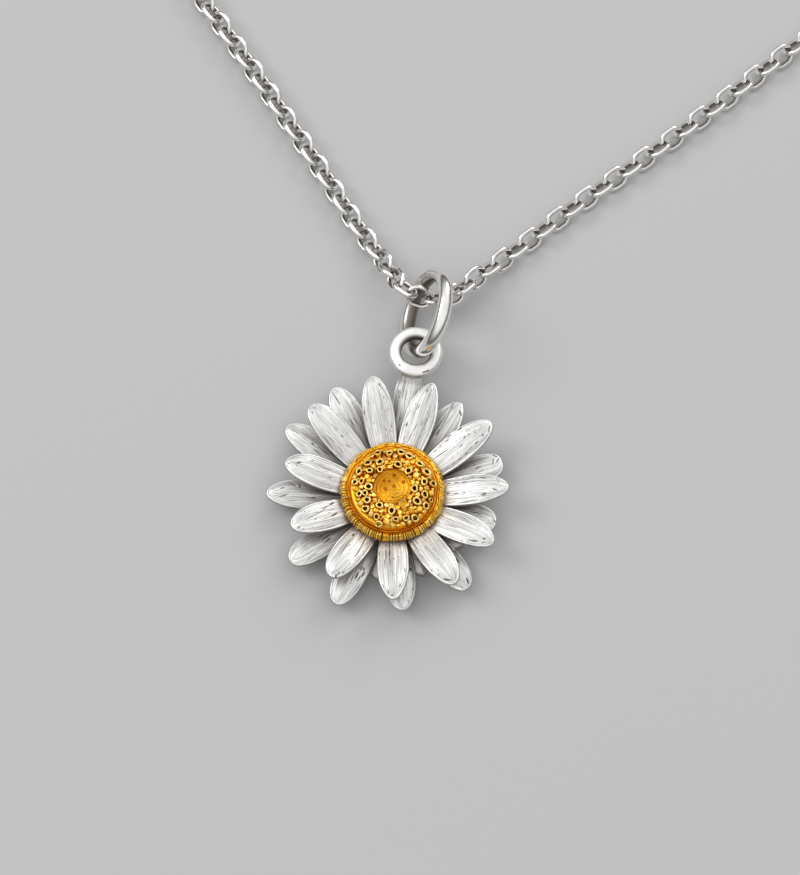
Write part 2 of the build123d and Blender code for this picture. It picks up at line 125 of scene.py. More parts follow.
# Slits, grooves and pits in the petals, seen from above. Front petals are numbered first, as in
# their table, then the back ones, then the petal that carries the loop. Columns: petal, from across
# and along, to across and along, width in mm, depth from 0 to 1. Across is a share of half the
# petal's width, to its right as seen from the root, and along a share of its length.
PETAL_MARKS = [
    (0, 0.34, 0.89, 0.38, 0.86, 0.12, 1.0), (0, 0.38, 0.86, 0.60, 0.79, 0.06, 0.8),
    (0, 0.60, 0.79, 0.82, 0.68, 0.05, 0.7), (0, 0.50, 0.73, 0.51, 0.71, 0.09, 0.7),
    (0, 0.20, 0.60, 0.20, 0.59, 0.10, 0.6), (0, -0.88, 0.61, -0.90, 0.57, 0.09, 0.9),
    (0, -0.70, 0.82, -0.68, 0.81, 0.09, 0.7), (0, -0.40, 0.46, -0.40, 0.45, 0.10, 0.7),
    (0, 0.20, 0.54, 0.20, 0.52, 0.07, 0.5), (0, 0.68, 0.41, 0.68, 0.38, 0.09, 0.8),
    (0, 0.32, 0.37, 0.33, 0.36, 0.10, 0.7), (0, 0.60, 0.36, 0.60, 0.34, 0.09, 0.7),
    (0, -0.52, 0.73, -0.55, 0.66, 0.06, 0.4), (0, -0.05, 0.62, -0.03, 0.48, 0.04, 0.35),
    (1, -0.16, 0.90, -0.16, 0.86, 0.09, 0.8), (1, -0.67, 0.46, -0.68, 0.42, 0.12, 1.0),
    (1, 0.68, 0.83, 0.76, 0.80, 0.08, 0.7), (1, 0.40, 0.36, 0.40, 0.34, 0.09, 0.6),
    (1, -0.27, 0.70, -0.34, 0.64, 0.07, 0.6), (1, 0.25, 0.53, 0.22, 0.47, 0.07, 0.7),
    (1, 0.00, 0.48, -0.17, 0.37, 0.06, 0.7), (1, -0.17, 0.37, -0.25, 0.25, 0.07, 0.8),
    (1, -0.47, 0.31, -0.54, 0.27, 0.08, 0.7), (1, 0.53, 0.64, 0.45, 0.50, 0.05, 0.5),
    (1, -0.72, 0.59, -0.88, 0.49, 0.05, 0.5), (1, 0.10, 0.92, 0.06, 0.70, 0.05, 0.5),
    (2, -0.84, 0.69, -0.86, 0.65, 0.10, 0.9), (2, -0.94, 0.54, -0.95, 0.51, 0.10, 0.9),
    (2, -0.20, 0.66, -0.20, 0.64, 0.11, 0.9), (2, -0.17, 0.72, -0.18, 0.69, 0.08, 0.6),
    (2, -0.15, 0.79, -0.16, 0.76, 0.06, 0.5), (2, -0.33, 0.56, -0.33, 0.55, 0.09, 0.6),
    (2, -0.74, 0.49, -0.74, 0.47, 0.09, 0.8), (2, -0.72, 0.40, -0.72, 0.36, 0.08, 0.7),
    (2, -0.70, 0.33, -0.70, 0.29, 0.07, 0.6), (2, 0.39, 0.84, 0.40, 0.81, 0.09, 0.8),
    (2, 0.10, 0.58, 0.10, 0.54, 0.08, 0.6), (2, 0.37, 0.42, 0.37, 0.40, 0.08, 0.5),
    (2, -0.26, 0.42, -0.34, 0.25, 0.08, 0.8), (2, 0.53, 0.74, 0.56, 0.70, 0.09, 0.8),
    (2, 0.60, 0.66, 0.64, 0.60, 0.06, 0.6), (2, 0.68, 0.58, 0.72, 0.54, 0.09, 0.9),
    (2, 0.72, 0.50, 0.73, 0.44, 0.07, 0.7), (2, 0.70, 0.40, 0.70, 0.36, 0.07, 0.6),
    (2, 0.12, 0.96, 0.40, 0.90, 0.07, 0.7), (2, -0.46, 0.76, -0.48, 0.70, 0.05, 0.5),
    (3, -0.60, 0.73, -0.69, 0.65, 0.10, 1.0), (3, 0.25, 0.85, 0.15, 0.80, 0.10, 0.9),
    (3, -0.33, 0.88, -0.35, 0.86, 0.08, 0.5), (3, -0.52, 0.86, -0.48, 0.84, 0.08, 0.5),
    (3, 0.43, 0.72, 0.47, 0.67, 0.09, 0.9), (3, 0.54, 0.72, 0.55, 0.67, 0.07, 0.7),
    (3, -0.79, 0.58, -0.79, 0.56, 0.09, 0.7), (3, -0.68, 0.51, -0.69, 0.49, 0.10, 0.8),
    (3, -0.77, 0.46, -0.78, 0.45, 0.09, 0.7), (3, -0.48, 0.58, -0.49, 0.55, 0.07, 0.6),
    (3, -0.50, 0.48, -0.50, 0.45, 0.09, 0.9), (3, -0.53, 0.39, -0.54, 0.34, 0.08, 0.8),
    (3, -0.54, 0.31, -0.54, 0.25, 0.08, 0.8), (3, -0.85, 0.39, -0.86, 0.37, 0.08, 0.6),
    (3, 0.17, 0.56, 0.17, 0.55, 0.08, 0.6), (3, 0.20, 0.47, 0.20, 0.45, 0.10, 0.8),
    (3, 0.20, 0.38, 0.20, 0.34, 0.09, 0.8), (3, 0.14, 0.28, 0.12, 0.24, 0.09, 0.8),
    (3, -0.07, 0.57, -0.08, 0.56, 0.08, 0.5), (3, 0.78, 0.62, 0.84, 0.40, 0.06, 0.6),
    (4, -0.45, 0.85, -0.46, 0.84, 0.09, 0.6), (4, 0.08, 0.89, 0.14, 0.87, 0.10, 0.9),
    (4, 0.25, 0.91, 0.45, 0.88, 0.07, 0.6), (4, 0.46, 0.82, 0.58, 0.76, 0.11, 0.9),
    (4, 0.58, 0.76, 0.64, 0.72, 0.08, 0.6), (4, -0.24, 0.77, -0.25, 0.75, 0.07, 0.5),
    (4, -0.13, 0.48, -0.18, 0.33, 0.06, 0.6), (4, -0.60, 0.56, -0.56, 0.38, 0.07, 0.6),
    (4, -0.54, 0.38, -0.52, 0.26, 0.06, 0.7), (4, -0.20, 0.28, -0.20, 0.25, 0.08, 0.8),
    (4, 0.42, 0.42, 0.54, 0.40, 0.06, 0.4), (4, 0.22, 0.52, 0.20, 0.34, 0.05, 0.4),
    (5, 0.02, 0.95, 0.24, 0.93, 0.08, 0.7), (5, 0.24, 0.93, 0.46, 0.89, 0.11, 0.9),
    (5, 0.78, 0.74, 0.80, 0.70, 0.08, 0.8), (5, 0.44, 0.77, 0.46, 0.75, 0.07, 0.5),
    (5, -0.45, 0.78, -0.46, 0.75, 0.06, 0.4), (5, -0.11, 0.49, -0.11, 0.47, 0.08, 0.5),
    (5, 0.24, 0.44, 0.22, 0.39, 0.07, 0.7), (5, -0.02, 0.36, -0.05, 0.23, 0.07, 0.8),
    (5, -0.27, 0.42, -0.28, 0.25, 0.05, 0.5), (5, -0.55, 0.27, -0.55, 0.24, 0.08, 0.7),
    (5, 0.44, 0.32, 0.46, 0.24, 0.06, 0.6), (5, 0.68, 0.40, 0.66, 0.22, 0.06, 0.8),
    (6, 0.27, 0.94, 0.30, 0.90, 0.09, 0.8), (6, -0.48, 0.82, -0.41, 0.85, 0.09, 0.8),
    (6, 0.58, 0.86, 0.58, 0.82, 0.08, 0.6), (6, -0.74, 0.64, -0.71, 0.60, 0.08, 0.7),
    (6, 0.50, 0.60, 0.53, 0.53, 0.06, 0.6), (6, 0.53, 0.53, 0.46, 0.46, 0.09, 0.9),
    (6, 0.43, 0.46, 0.43, 0.33, 0.11, 0.8), (6, 0.18, 0.54, 0.22, 0.43, 0.09, 0.8),
    (6, 0.22, 0.43, 0.19, 0.34, 0.12, 1.0), (6, 0.19, 0.34, 0.22, 0.22, 0.09, 0.9),
    (6, 0.00, 0.28, 0.00, 0.22, 0.07, 0.7), (6, -0.40, 0.30, -0.41, 0.22, 0.06, 0.6),
    (6, 0.42, 0.30, 0.42, 0.23, 0.08, 0.8), (6, 0.83, 0.43, 0.85, 0.36, 0.07, 0.7),
    (6, 0.05, 0.68, 0.16, 0.60, 0.06, 0.5), (6, -0.55, 0.39, -0.56, 0.37, 0.08, 0.5),
    (6, -0.04, 0.955, 0.16, 0.955, 0.07, 0.7),
    (7, -0.34, 0.98, -0.27, 0.94, 0.14, 1.0), (7, -0.33, 0.92, -0.36, 0.89, 0.12, 0.7),
    (7, -0.54, 0.88, -0.58, 0.85, 0.09, 0.7), (7, 0.46, 0.35, 0.46, 0.31, 0.16, 1.0),
    (7, 0.43, 0.39, 0.35, 0.58, 0.09, 0.5), (7, 0.35, 0.58, 0.24, 0.72, 0.08, 0.4),
    (7, 0.19, 0.51, 0.19, 0.49, 0.09, 0.6), (7, -0.56, 0.60, -0.46, 0.45, 0.06, 0.7),
    (7, -0.46, 0.45, -0.28, 0.24, 0.07, 0.8), (7, -0.05, 0.34, -0.03, 0.23, 0.08, 0.8),
    (7, -0.60, 0.34, -0.60, 0.32, 0.09, 0.6), (7, -0.57, 0.73, -0.57, 0.71, 0.07, 0.5),
    (7, 0.80, 0.52, 0.84, 0.25, 0.06, 0.5),
    (8, -0.30, 0.93, -0.28, 0.89, 0.13, 0.6), (8, -0.14, 0.67, -0.13, 0.65, 0.11, 0.6),
    (8, -0.49, 0.43, -0.49, 0.41, 0.09, 0.6), (8, -0.17, 0.43, -0.06, 0.35, 0.10, 1.0),
    (8, 0.45, 0.51, 0.58, 0.41, 0.06, 0.7), (8, 0.60, 0.40, 0.73, 0.33, 0.13, 1.0),
    (8, 0.03, 0.80, 0.12, 0.64, 0.08, 0.5), (8, 0.12, 0.64, 0.40, 0.48, 0.07, 0.5),
    (8, 0.90, 0.40, 0.96, 0.34, 0.08, 0.6), (8, -0.30, 0.60, -0.20, 0.46, 0.05, 0.4),
    (9, 0.05, 0.85, 0.20, 0.80, 0.10, 0.9), (9, -0.07, 0.96, -0.07, 0.94, 0.08, 0.5),
    (9, -0.28, 0.97, -0.28, 0.95, 0.08, 0.5), (9, 0.12, 0.50, 0.17, 0.42, 0.05, 0.5),
    (9, -0.12, 0.42, -0.12, 0.37, 0.09, 0.7), (9, -0.74, 0.37, -0.74, 0.34, 0.08, 0.6),
    (9, 0.56, 0.67, 0.57, 0.64, 0.07, 0.5), (9, 0.75, 0.36, 0.75, 0.34, 0.08, 0.5),
    (9, 0.02, 0.94, 0.06, 0.76, 0.05, 0.5), (9, 0.30, 0.58, 0.36, 0.40, 0.05, 0.5),
    (10, 0.15, 0.50, 0.15, 0.48, 0.14, 1.0), (10, 0.18, 0.62, 0.23, 0.56, 0.06, 0.6),
    (10, 0.08, 0.60, 0.12, 0.54, 0.05, 0.5), (10, 0.03, 0.39, 0.08, 0.34, 0.07, 0.8),
    (10, -0.04, 0.39, -0.02, 0.35, 0.05, 0.5), (10, -0.22, 0.93, -0.23, 0.90, 0.08, 0.6),
    (10, 0.33, 0.91, 0.34, 0.89, 0.08, 0.6), (10, 0.78, 0.81, 0.79, 0.79, 0.08, 0.7),
    (10, 0.94, 0.72, 0.96, 0.68, 0.08, 0.7), (10, -0.76, 0.63, -0.83, 0.47, 0.06, 0.7),
    (10, -0.55, 0.61, -0.48, 0.49, 0.06, 0.7), (10, -0.44, 0.44, -0.50, 0.34, 0.06, 0.6),
    (10, -0.90, 0.39, -0.90, 0.35, 0.08, 0.7), (10, -0.70, 0.40, -0.72, 0.31, 0.06, 0.6),
    (10, -0.25, 0.43, -0.25, 0.41, 0.07, 0.5), (10, 0.40, 0.56, 0.44, 0.40, 0.05, 0.4),
    (11, -0.38, 0.93, -0.31, 0.84, 0.07, 0.8), (11, -0.31, 0.84, -0.20, 0.76, 0.05, 0.6),
    (11, -0.22, 0.90, -0.19, 0.84, 0.05, 0.6), (11, -0.14, 0.78, -0.06, 0.58, 0.06, 0.7),
    (11, -0.06, 0.56, -0.05, 0.48, 0.09, 0.8), (11, 0.24, 0.90, 0.52, 0.86, 0.12, 0.9),
    (12, -0.46, 0.95, -0.66, 0.90, 0.09, 0.8), (12, -0.28, 0.97, -0.08, 0.92, 0.08, 0.7),
    (12, -0.38, 0.90, -0.05, 0.87, 0.09, 0.7), (12, -0.96, 0.86, -0.72, 0.87, 0.08, 0.7),
    (12, -0.33, 0.66, -0.33, 0.60, 0.08, 0.7), (12, -0.10, 0.71, -0.10, 0.64, 0.06, 0.6),
    (12, 0.20, 0.75, 0.22, 0.67, 0.05, 0.5), (12, -0.78, 0.56, -0.76, 0.50, 0.09, 0.8),
    (13, -0.31, 0.76, -0.29, 0.60, 0.09, 0.9), (13, -0.10, 0.99, -0.10, 0.97, 0.11, 0.9),
    (13, 0.17, 0.96, 0.12, 0.88, 0.05, 0.5), (13, -0.50, 0.80, -0.52, 0.66, 0.05, 0.4),
    (14, -0.22, 0.96, -0.33, 0.90, 0.10, 1.0), (14, -0.60, 0.69, -0.56, 0.60, 0.10, 1.0),
    (14, 0.29, 0.98, 0.29, 0.92, 0.06, 0.6), (14, -0.86, 0.57, -0.70, 0.50, 0.11, 0.8),
    (15, -0.74, 0.52, -0.71, 0.48, 0.15, 1.0), (15, -0.42, 0.92, -0.38, 0.88, 0.07, 0.6),
    (15, -0.74, 0.79, -0.76, 0.74, 0.06, 0.5), (15, -0.70, 0.46, -0.62, 0.30, 0.09, 0.7),
    (16, -0.41, 0.65, -0.37, 0.57, 0.09, 1.0), (16, -0.58, 0.66, -0.60, 0.59, 0.07, 0.8),
    (16, -0.68, 0.59, -0.70, 0.53, 0.09, 0.9), (16, -0.60, 0.51, -0.56, 0.49, 0.13, 1.0),
    (16, -0.72, 0.84, -0.80, 0.68, 0.05, 0.6), (16, 0.50, 0.72, 0.50, 0.70, 0.09, 0.7),
    (16, -0.22, 0.70, -0.18, 0.64, 0.06, 0.6), (16, -0.44, 0.53, -0.40, 0.48, 0.08, 0.8),
    (17, -0.24, 0.54, -0.14, 0.45, 0.10, 0.8), (17, 0.04, 0.55, 0.09, 0.43, 0.08, 0.9),
    (17, 0.29, 0.55, 0.32, 0.49, 0.09, 0.9), (17, -0.28, 0.58, -0.04, 0.57, 0.07, 0.7),
    (17, 0.62, 0.57, 0.64, 0.53, 0.11, 0.9), (17, 0.44, 0.59, 0.46, 0.56, 0.08, 0.7),
    (17, 0.73, 0.66, 0.73, 0.64, 0.08, 0.7), (17, 0.55, 0.93, 0.59, 0.82, 0.05, 0.5),
    (17, 0.27, 0.76, 0.27, 0.74, 0.07, 0.5), (17, -0.60, 0.89, -0.55, 0.70, 0.06, 0.6),
    (18, -0.30, 0.85, -0.14, 0.76, 0.07, 0.8), (18, 0.26, 0.84, 0.36, 0.79, 0.08, 0.8),
    (18, 0.26, 0.93, 0.26, 0.91, 0.07, 0.5), (18, 0.38, 0.62, 0.54, 0.61, 0.17, 1.0),
    (18, 0.68, 0.74, 0.62, 0.69, 0.08, 0.7), (18, 0.56, 0.69, 0.42, 0.66, 0.08, 0.7),
    (18, -0.28, 0.48, -0.27, 0.44, 0.10, 0.8), (18, -0.55, 0.76, -0.50, 0.64, 0.05, 0.5),
    (19, -0.05, 0.65, -0.04, 0.63, 0.12, 0.9), (19, -0.04, 0.94, 0.03, 0.82, 0.05, 0.5),
    (19, 0.26, 0.79, 0.32, 0.70, 0.05, 0.5), (19, 0.03, 0.58, -0.02, 0.42, 0.08, 0.8),
    (19, -0.30, 0.60, -0.28, 0.50, 0.06, 0.6), (19, 0.57, 0.82, 0.58, 0.78, 0.08, 0.6),
    (19, 0.66, 0.78, 0.68, 0.73, 0.07, 0.6), (19, 0.84, 0.76, 0.86, 0.74, 0.08, 0.6),
    (20, -0.23, 0.95, -0.18, 0.78, 0.07, 0.8), (20, 0.11, 0.79, 0.14, 0.64, 0.05, 0.5),
    (20, 0.20, 0.58, 0.25, 0.49, 0.07, 0.8), (20, -0.10, 0.57, 0.00, 0.48, 0.06, 0.7),
    (21, -0.34, 0.88, -0.40, 0.70, 0.06, 0.7), (21, -0.14, 0.78, -0.20, 0.62, 0.05, 0.6),
    (21, -0.57, 0.78, -0.60, 0.68, 0.06, 0.6), (21, 0.66, 0.84, 0.70, 0.74, 0.06, 0.5),
]

# Calyx plate and hub behind the petals. The plate reaches out to its points and in to its valleys.
CALYX_THICKNESS = 0.60
CALYX_REACH = 6.00
CALYX_VALLEY = 5.00
CALYX_ROUND = 0.06
CALYX_BEVEL = 0.08
CALYX_STEPS = 440
HUB_RADIUS = 3.30
HUB_TOP = 1.791
HUB_FILLET = 0.10

# Hanging loop and the petal that carries it. The loop's wire swells at its foot by a share, and the
# petal's top rises there by the gusset's height.
LOOP_DIRECTION = 0.0
LOOP_PETAL_SHARE = 1.00
LOOP_PETAL_ROUNDNESS = 3.4
LOOP_WIRE = 0.86
LOOP_RADIUS = 1.45
LOOP_PLACE = 10.272
LOOP_HEIGHT = 2.30
LOOP_SWELLING = 0.16
LOOP_GUSSET = 0.40
LOOP_SQUARENESS = 0.72
LOOP_STEPS = 360
LOOP_WIRE_STEPS = 48
SATIN_ROUGHNESS = 0.42

# Slits in the loop's upper side. Columns: from direction, to direction, radius, width in mm, depth
LOOP_MARKS = [
    (139, 155, 1.72, 0.085, 0.9), (216, 217, 1.60, 0.12, 1.0), (193, 215, 1.62, 0.06, 0.6),
]

# Gold centre
GOLD_BASE = 1.841
PEG_RADIUS = 1.50
PEG_LENGTH = 1.10
SEAT_GAP = 0.05
COLLAR_RADIUS = 3.68
COLLAR_HEIGHT = 0.48
COLLAR_FLARE = 0.30
COLLAR_CORNER = 0.04
COLLAR_STEPS = 1200
GROOVE_FLOOR = 0.30
GROOVE_WIDTH = 0.05
DOME_RADIUS = 2.92
DOME_WALL = 0.78
DOME_HEIGHT = 1.15
DOME_STEPS = 760
BED_DEPTH = 0.10
CUP_RADIUS = 1.33
CUP_DEPTH = 0.42
PIT_DEPTH = 0.07

# Florets: open tubes. Columns: direction, place as a share from the cup's edge to the dome's, radius
FLORETS = [
    (4, 0.78, 0.30), (18, 0.73, 0.29), (39, 0.72, 0.27), (56, 0.78, 0.31), (75, 0.91, 0.26),
    (72, 0.54, 0.26), (95, 0.59, 0.27), (100, 0.89, 0.16), (111, 0.82, 0.26), (136, 0.85, 0.28),
    (148, 0.68, 0.23), (190, 0.89, 0.25), (197, 0.66, 0.24), (220, 0.67, 0.27), (248, 0.60, 0.23),
    (269, 0.76, 0.24), (271, 0.49, 0.22), (287, 0.74, 0.27), (307, 0.67, 0.28), (329, 0.84, 0.26),
    (325, 0.38, 0.27), (346, 0.69, 0.24), (5, 0.17, 0.27), (36, 0.14, 0.27), (88, 0.12, 0.28),
    (113, 0.41, 0.30), (172, 0.27, 0.28), (203, 0.19, 0.25), (231, 0.40, 0.26), (246, 0.36, 0.22),
    (259, 0.18, 0.28), (297, 0.36, 0.22), (315, 0.08, 0.22), (165, 0.62, 0.20),
]

# A tube's form: how much wider it is than in the table, its hole as a share of its radius, its
# height at the cup, what it loses towards the dome's edge, its rim's height and its lean in degrees
# at the dome's edge
FLORET_WIDENING = 1.06
FLORET_HOLE = 0.47
FLORET_RISE = 0.21
FLORET_FALL = 0.03
FLORET_RIM = 0.08
FLORET_LEAN = 40
FLORET_SIDES = 28

# Grains between the tubes: their sizes, the throws for each size, and their height
GRAIN_SIZES = (0.22, 0.18, 0.14, 0.10)
GRAIN_THROWS = 1400
GRAIN_HEIGHT = 0.17

# Stretch of the dome's shoulder that has no grains
BARE_DIRECTION = 222
BARE_WIDTH = 0.36

# Collar's pleats: their number, how far the creases between them cut into the collar's side and its
# top, and how far the whole edge stands back. Two sums of sines make the pleats' widths uneven and
# the edge ragged. Columns of both: height, waves to the turn, phase
PLEATS = 112
PLEAT_INSET = 0.15
PLEAT_CREASE = 0.17
EDGE_SETBACK = 0.05
PLEAT_DRIFT = [(1.4, 3, 1), (0.7, 7, 0), (0.4, 19, 0)]
RAGGED_EDGE = [(0.026, 9, 1), (0.024, 23, 0), (0.018, 41, 2)]

# Notches torn in the collar's edge. Columns: direction, half width in degrees, depth
COLLAR_NOTCHES = [
    (62, 2.0, 0.08), (300, 3.0, 0.09), (312, 2.5, -0.05), (326, 3.0, 0.06), (20, 2.0, 0.05),
    (285, 2.0, 0.06), (240, 2.0, 0.05), (93, 1.5, 0.06), (128, 2.5, 0.06), (153, 2.0, 0.05),
]

# Pits in the cup's floor. Columns: direction, distance from the axis, radius
CUP_PITS = [
    (359, 0.87, 0.10), (329, 0.55, 0.09), (305, 0.73, 0.10), (54, 0.89, 0.10), (254, 0.43, 0.13),
    (25, 0.23, 0.11), (168, 0.64, 0.08),
]

# Bail ring
RING_WIRE = 1.05
RING_RADIUS = 2.82
RING_LEAN = 27.5
RING_TURN = 3.0
RING_CENTRE = (0.30, 13.032, 3.026)

# Chain links
LINK_LENGTH = 2.10
LINK_WIDTH = 1.72
LINK_WIRE = 0.34
LINK_ROLL = 45
PITCH = 1.30
CHAIN_LIE = 0.658
NEAR_LINKS = 30
ROUTE_STEPS = 24

# Clasp and end ring
FAR_PLACE = 162.0
CLASP_RADIUS = 2.20
CLASP_WIRE = 1.10
CLASP_ROLL = 22
CLASP_SIDEWAYS = -0.60
CLASP_HEIGHT = 1.374
EYE_RADIUS = 0.85
EYE_WIRE = 0.56
EYE_SIDEWAYS = -4.18
END_RING_RADIUS = 1.55
END_RING_WIRE = 0.60
END_RING_ROLL = 55
END_RING_SIDEWAYS = 2.05
END_RING_HEIGHT = 1.570

# The chain's route, the same points as in the part's source
LEFT_END = -4.60
RIGHT_END = 3.15
CHAIN_ROUTE = [
    (LEFT_END, FAR_PLACE, CLASP_HEIGHT),
    (-10.50, FAR_PLACE - 0.30, CHAIN_LIE),
    (-24.00, 158.50, CHAIN_LIE),
    (-47.00, 142.00, CHAIN_LIE),
    (-61.50, 109.00, CHAIN_LIE),
    (-56.00, 76.00, CHAIN_LIE),
    (-39.50, 57.40, CHAIN_LIE),
    (-25.80, 42.10, CHAIN_LIE),
    (-15.90, 31.50, CHAIN_LIE),
    (-9.14, 23.83, CHAIN_LIE),
    (-5.60, 19.60, CHAIN_LIE),
    (-3.47, 17.22, 1.13),
    (-1.69, 14.67, 2.94),
    (-0.02, 14.29, 2.35),
    (1.78, 14.80, 2.21),
    (3.02, 16.57, 1.58),
    (5.60, 19.60, CHAIN_LIE),
    (9.00, 23.45, CHAIN_LIE),
    (15.50, 30.10, CHAIN_LIE),
    (26.00, 41.90, CHAIN_LIE),
    (40.00, 57.00, CHAIN_LIE),
    (56.50, 76.00, CHAIN_LIE),
    (62.00, 109.00, CHAIN_LIE),
    (47.50, 142.00, CHAIN_LIE),
    (25.00, 158.50, CHAIN_LIE),
    (11.50, FAR_PLACE - 0.30, CHAIN_LIE),
    (RIGHT_END, FAR_PLACE, END_RING_HEIGHT),
]

# Stage, in metres: the places of the lights, their size, and half the floor's width
KEY_PLACE = (-0.50, 0.08, 0.48)
FILL_PLACE = (0.22, 0.55, 0.36)
LIGHT_SIZE = 0.32
FLOOR_HALF = 2.0

# Heights between which the sky brightens, for directions of length 1
SKY_FROM = 0.10
SKY_TO = 0.80

# Camera: where it looks, from which side, how far away, and its lens on a 36 mm sensor
CAMERA_TARGET = (-0.2203, 4.6889, 0.0)
CAMERA_AZIMUTH = 9.2
CAMERA_ELEVATION = 70.0
CAMERA_DISTANCE = 256.0
CAMERA_LENS = 164.6
CAMERA_SENSOR = 36.0


class PetalSettings(bpy.types.PropertyGroup):
    """Sizes of the petals' cast relief, in metres."""

    rim_width: FloatProperty(
        name="Rim width", description="Width of the raised rim round a petal",
        default=0.13 * MM, subtype="DISTANCE", unit="LENGTH")
    rim_height: FloatProperty(
        name="Rim height", description="Height of the rim over the field inside it",
        default=0.045 * MM, subtype="DISTANCE", unit="LENGTH")
    fold_height: FloatProperty(
        name="Fold height", description="Height of the soft folds along a petal",
        default=0.014 * MM, subtype="DISTANCE", unit="LENGTH")


class FinishSettings(bpy.types.PropertyGroup):
    """Colours and roughness of the metals."""

    silver: FloatVectorProperty(
        name="Silver", description="Colour of clean silver",
        default=(0.93, 0.925, 0.91), subtype="COLOR", size=3, min=0, max=1)
    satin_silver: FloatVectorProperty(
        name="Satin silver", description="Colour of the hanging loop",
        default=(1.0, 0.995, 0.98), subtype="COLOR", size=3, min=0, max=1)
    wire_silver: FloatVectorProperty(
        name="Wire silver", description="Colour of the rings and links",
        default=(0.95, 0.94, 0.92), subtype="COLOR", size=3, min=0, max=1)
    tarnish: FloatVectorProperty(
        name="Tarnish", description="Colour of oxide in the silver's hollows",
        default=(0.035, 0.028, 0.024), subtype="COLOR", size=3, min=0, max=1)
    gold: FloatVectorProperty(
        name="Gold", description="Colour of the gilding",
        default=(0.93, 0.50, 0.035), subtype="COLOR", size=3, min=0, max=1)
    # Painted shade: the colour put where the gilding lies deep, for the shade in its hollows
    painted_gold_shade: FloatVectorProperty(
        name="Gold in hollows", description="Colour of the gilding where it lies deep",
        default=(0.60, 0.21, 0.004), subtype="COLOR", size=3, min=0, max=1)
    matt: FloatProperty(
        name="Matt roughness", description="Roughness of the brushed petals",
        default=0.50, min=0, max=1, subtype="FACTOR")
    polished: FloatProperty(
        name="Polished roughness", description="Roughness of the rings and links",
        default=0.12, min=0, max=1, subtype="FACTOR")


class ChainSettings(bpy.types.PropertyGroup):
    """How finely the chain's links are made."""

    near_sides: IntProperty(
        name="Near link sides", description="Sides round a link near the pendant",
        default=40, min=12)
    near_wire: IntProperty(
        name="Near wire sides", description="Sides of the wire of a link near the pendant",
        default=12, min=6)
    far_sides: IntProperty(
        name="Far link sides", description="Sides round a link of the rest of the chain",
        default=14, min=10)
    far_wire: IntProperty(
        name="Far wire sides", description="Sides of the wire of a link of the rest of the chain",
        default=6, min=5)


class StageSettings(bpy.types.PropertyGroup):
    """Light and floor for the portrait."""

    floor: FloatVectorProperty(
        name="Floor", description="Colour of the plain floor",
        default=(0.52, 0.52, 0.52), subtype="COLOR", size=3, min=0, max=1)
    key: FloatProperty(
        name="Key light", description="Power of the main soft light",
        default=1.2, min=0, unit="POWER")
    fill: FloatProperty(
        name="Fill light", description="Power of the weaker soft light",
        default=1.0, min=0, unit="POWER")
    sky: FloatProperty(
        name="Sky", description="Strength of the even light from above",
        default=0.95, min=0)
    horizon: FloatProperty(
        name="Horizon", description="Strength of the light from all round, low down",
        default=0.10, min=0)
    backdrop: FloatProperty(
        name="Backdrop", description="Brightness of the plain background behind the floor",
        default=0.6, min=0)


class Signal:
    """One output of a shader's node, on which arithmetic adds Math nodes."""

    def __init__(self, nodes, socket):
        self.nodes = nodes
        self.socket = socket

    def math(self, operation, *values):
        sockets = dict(enumerate(values))
        return self.nodes.node("Math", {"operation": operation}, sockets)

    def __add__(self, other):
        return self.math("ADD", self, other)

    def __radd__(self, other):
        return self.math("ADD", other, self)

    def __sub__(self, other):
        return self.math("SUBTRACT", self, other)

    def __rsub__(self, other):
        return self.math("SUBTRACT", other, self)

    def __mul__(self, other):
        return self.math("MULTIPLY", self, other)

    def __rmul__(self, other):
        return self.math("MULTIPLY", other, self)

    def fraction(self):
        return self.math("FRACT", self)

    def __abs__(self):
        return self.math("ABSOLUTE", self)

    def smooth(self, low, high):
        """0 below low, 1 above high, eased between them."""
        return self.between(low, high, 0, 1)

    def between(self, low, high, first, second):
        """First below low, second above high, eased between them."""
        sockets = {"Value": self, "From Min": low, "From Max": high, "To Min": first, "To Max": second}
        return self.nodes.node("MapRange", {"interpolation_type": "SMOOTHSTEP"}, sockets)


class Nodes:
    """A tree of nodes in the making. One method adds every node."""

    def __init__(self, tree):
        self.tree = tree

    def feed(self, socket, value):
        """Links a signal to a socket, or sets the socket to a value."""
        if isinstance(value, Signal):
            self.tree.links.new(value.socket, socket)
        elif socket.type == "RGBA" and len(value) == 3:
            socket.default_value = (*value, 1)
        else:
            socket.default_value = value

    def node(self, kind, settings=None, sockets=None, output=0):
        """Adds a node, sets its settings, feeds its sockets and gives one of its outputs."""
        made = self.tree.nodes.new("ShaderNode" + kind)
        for name, value in (settings or {}).items():
            setattr(made, name, value)
        for name, value in (sockets or {}).items():
            self.feed(made.inputs[name], value)
        return Signal(self, made.outputs[output])

    def mix(self, share, first, second):
        """Blends two colours."""
        return self.node("Mix", {"data_type": "RGBA"}, {0: share, 6: first, 7: second}, 2)

    def parts(self, vector):
        """The three numbers of a vector."""
        split = self.node("SeparateXYZ", None, {0: vector})
        return [Signal(self, output) for output in split.socket.node.outputs]


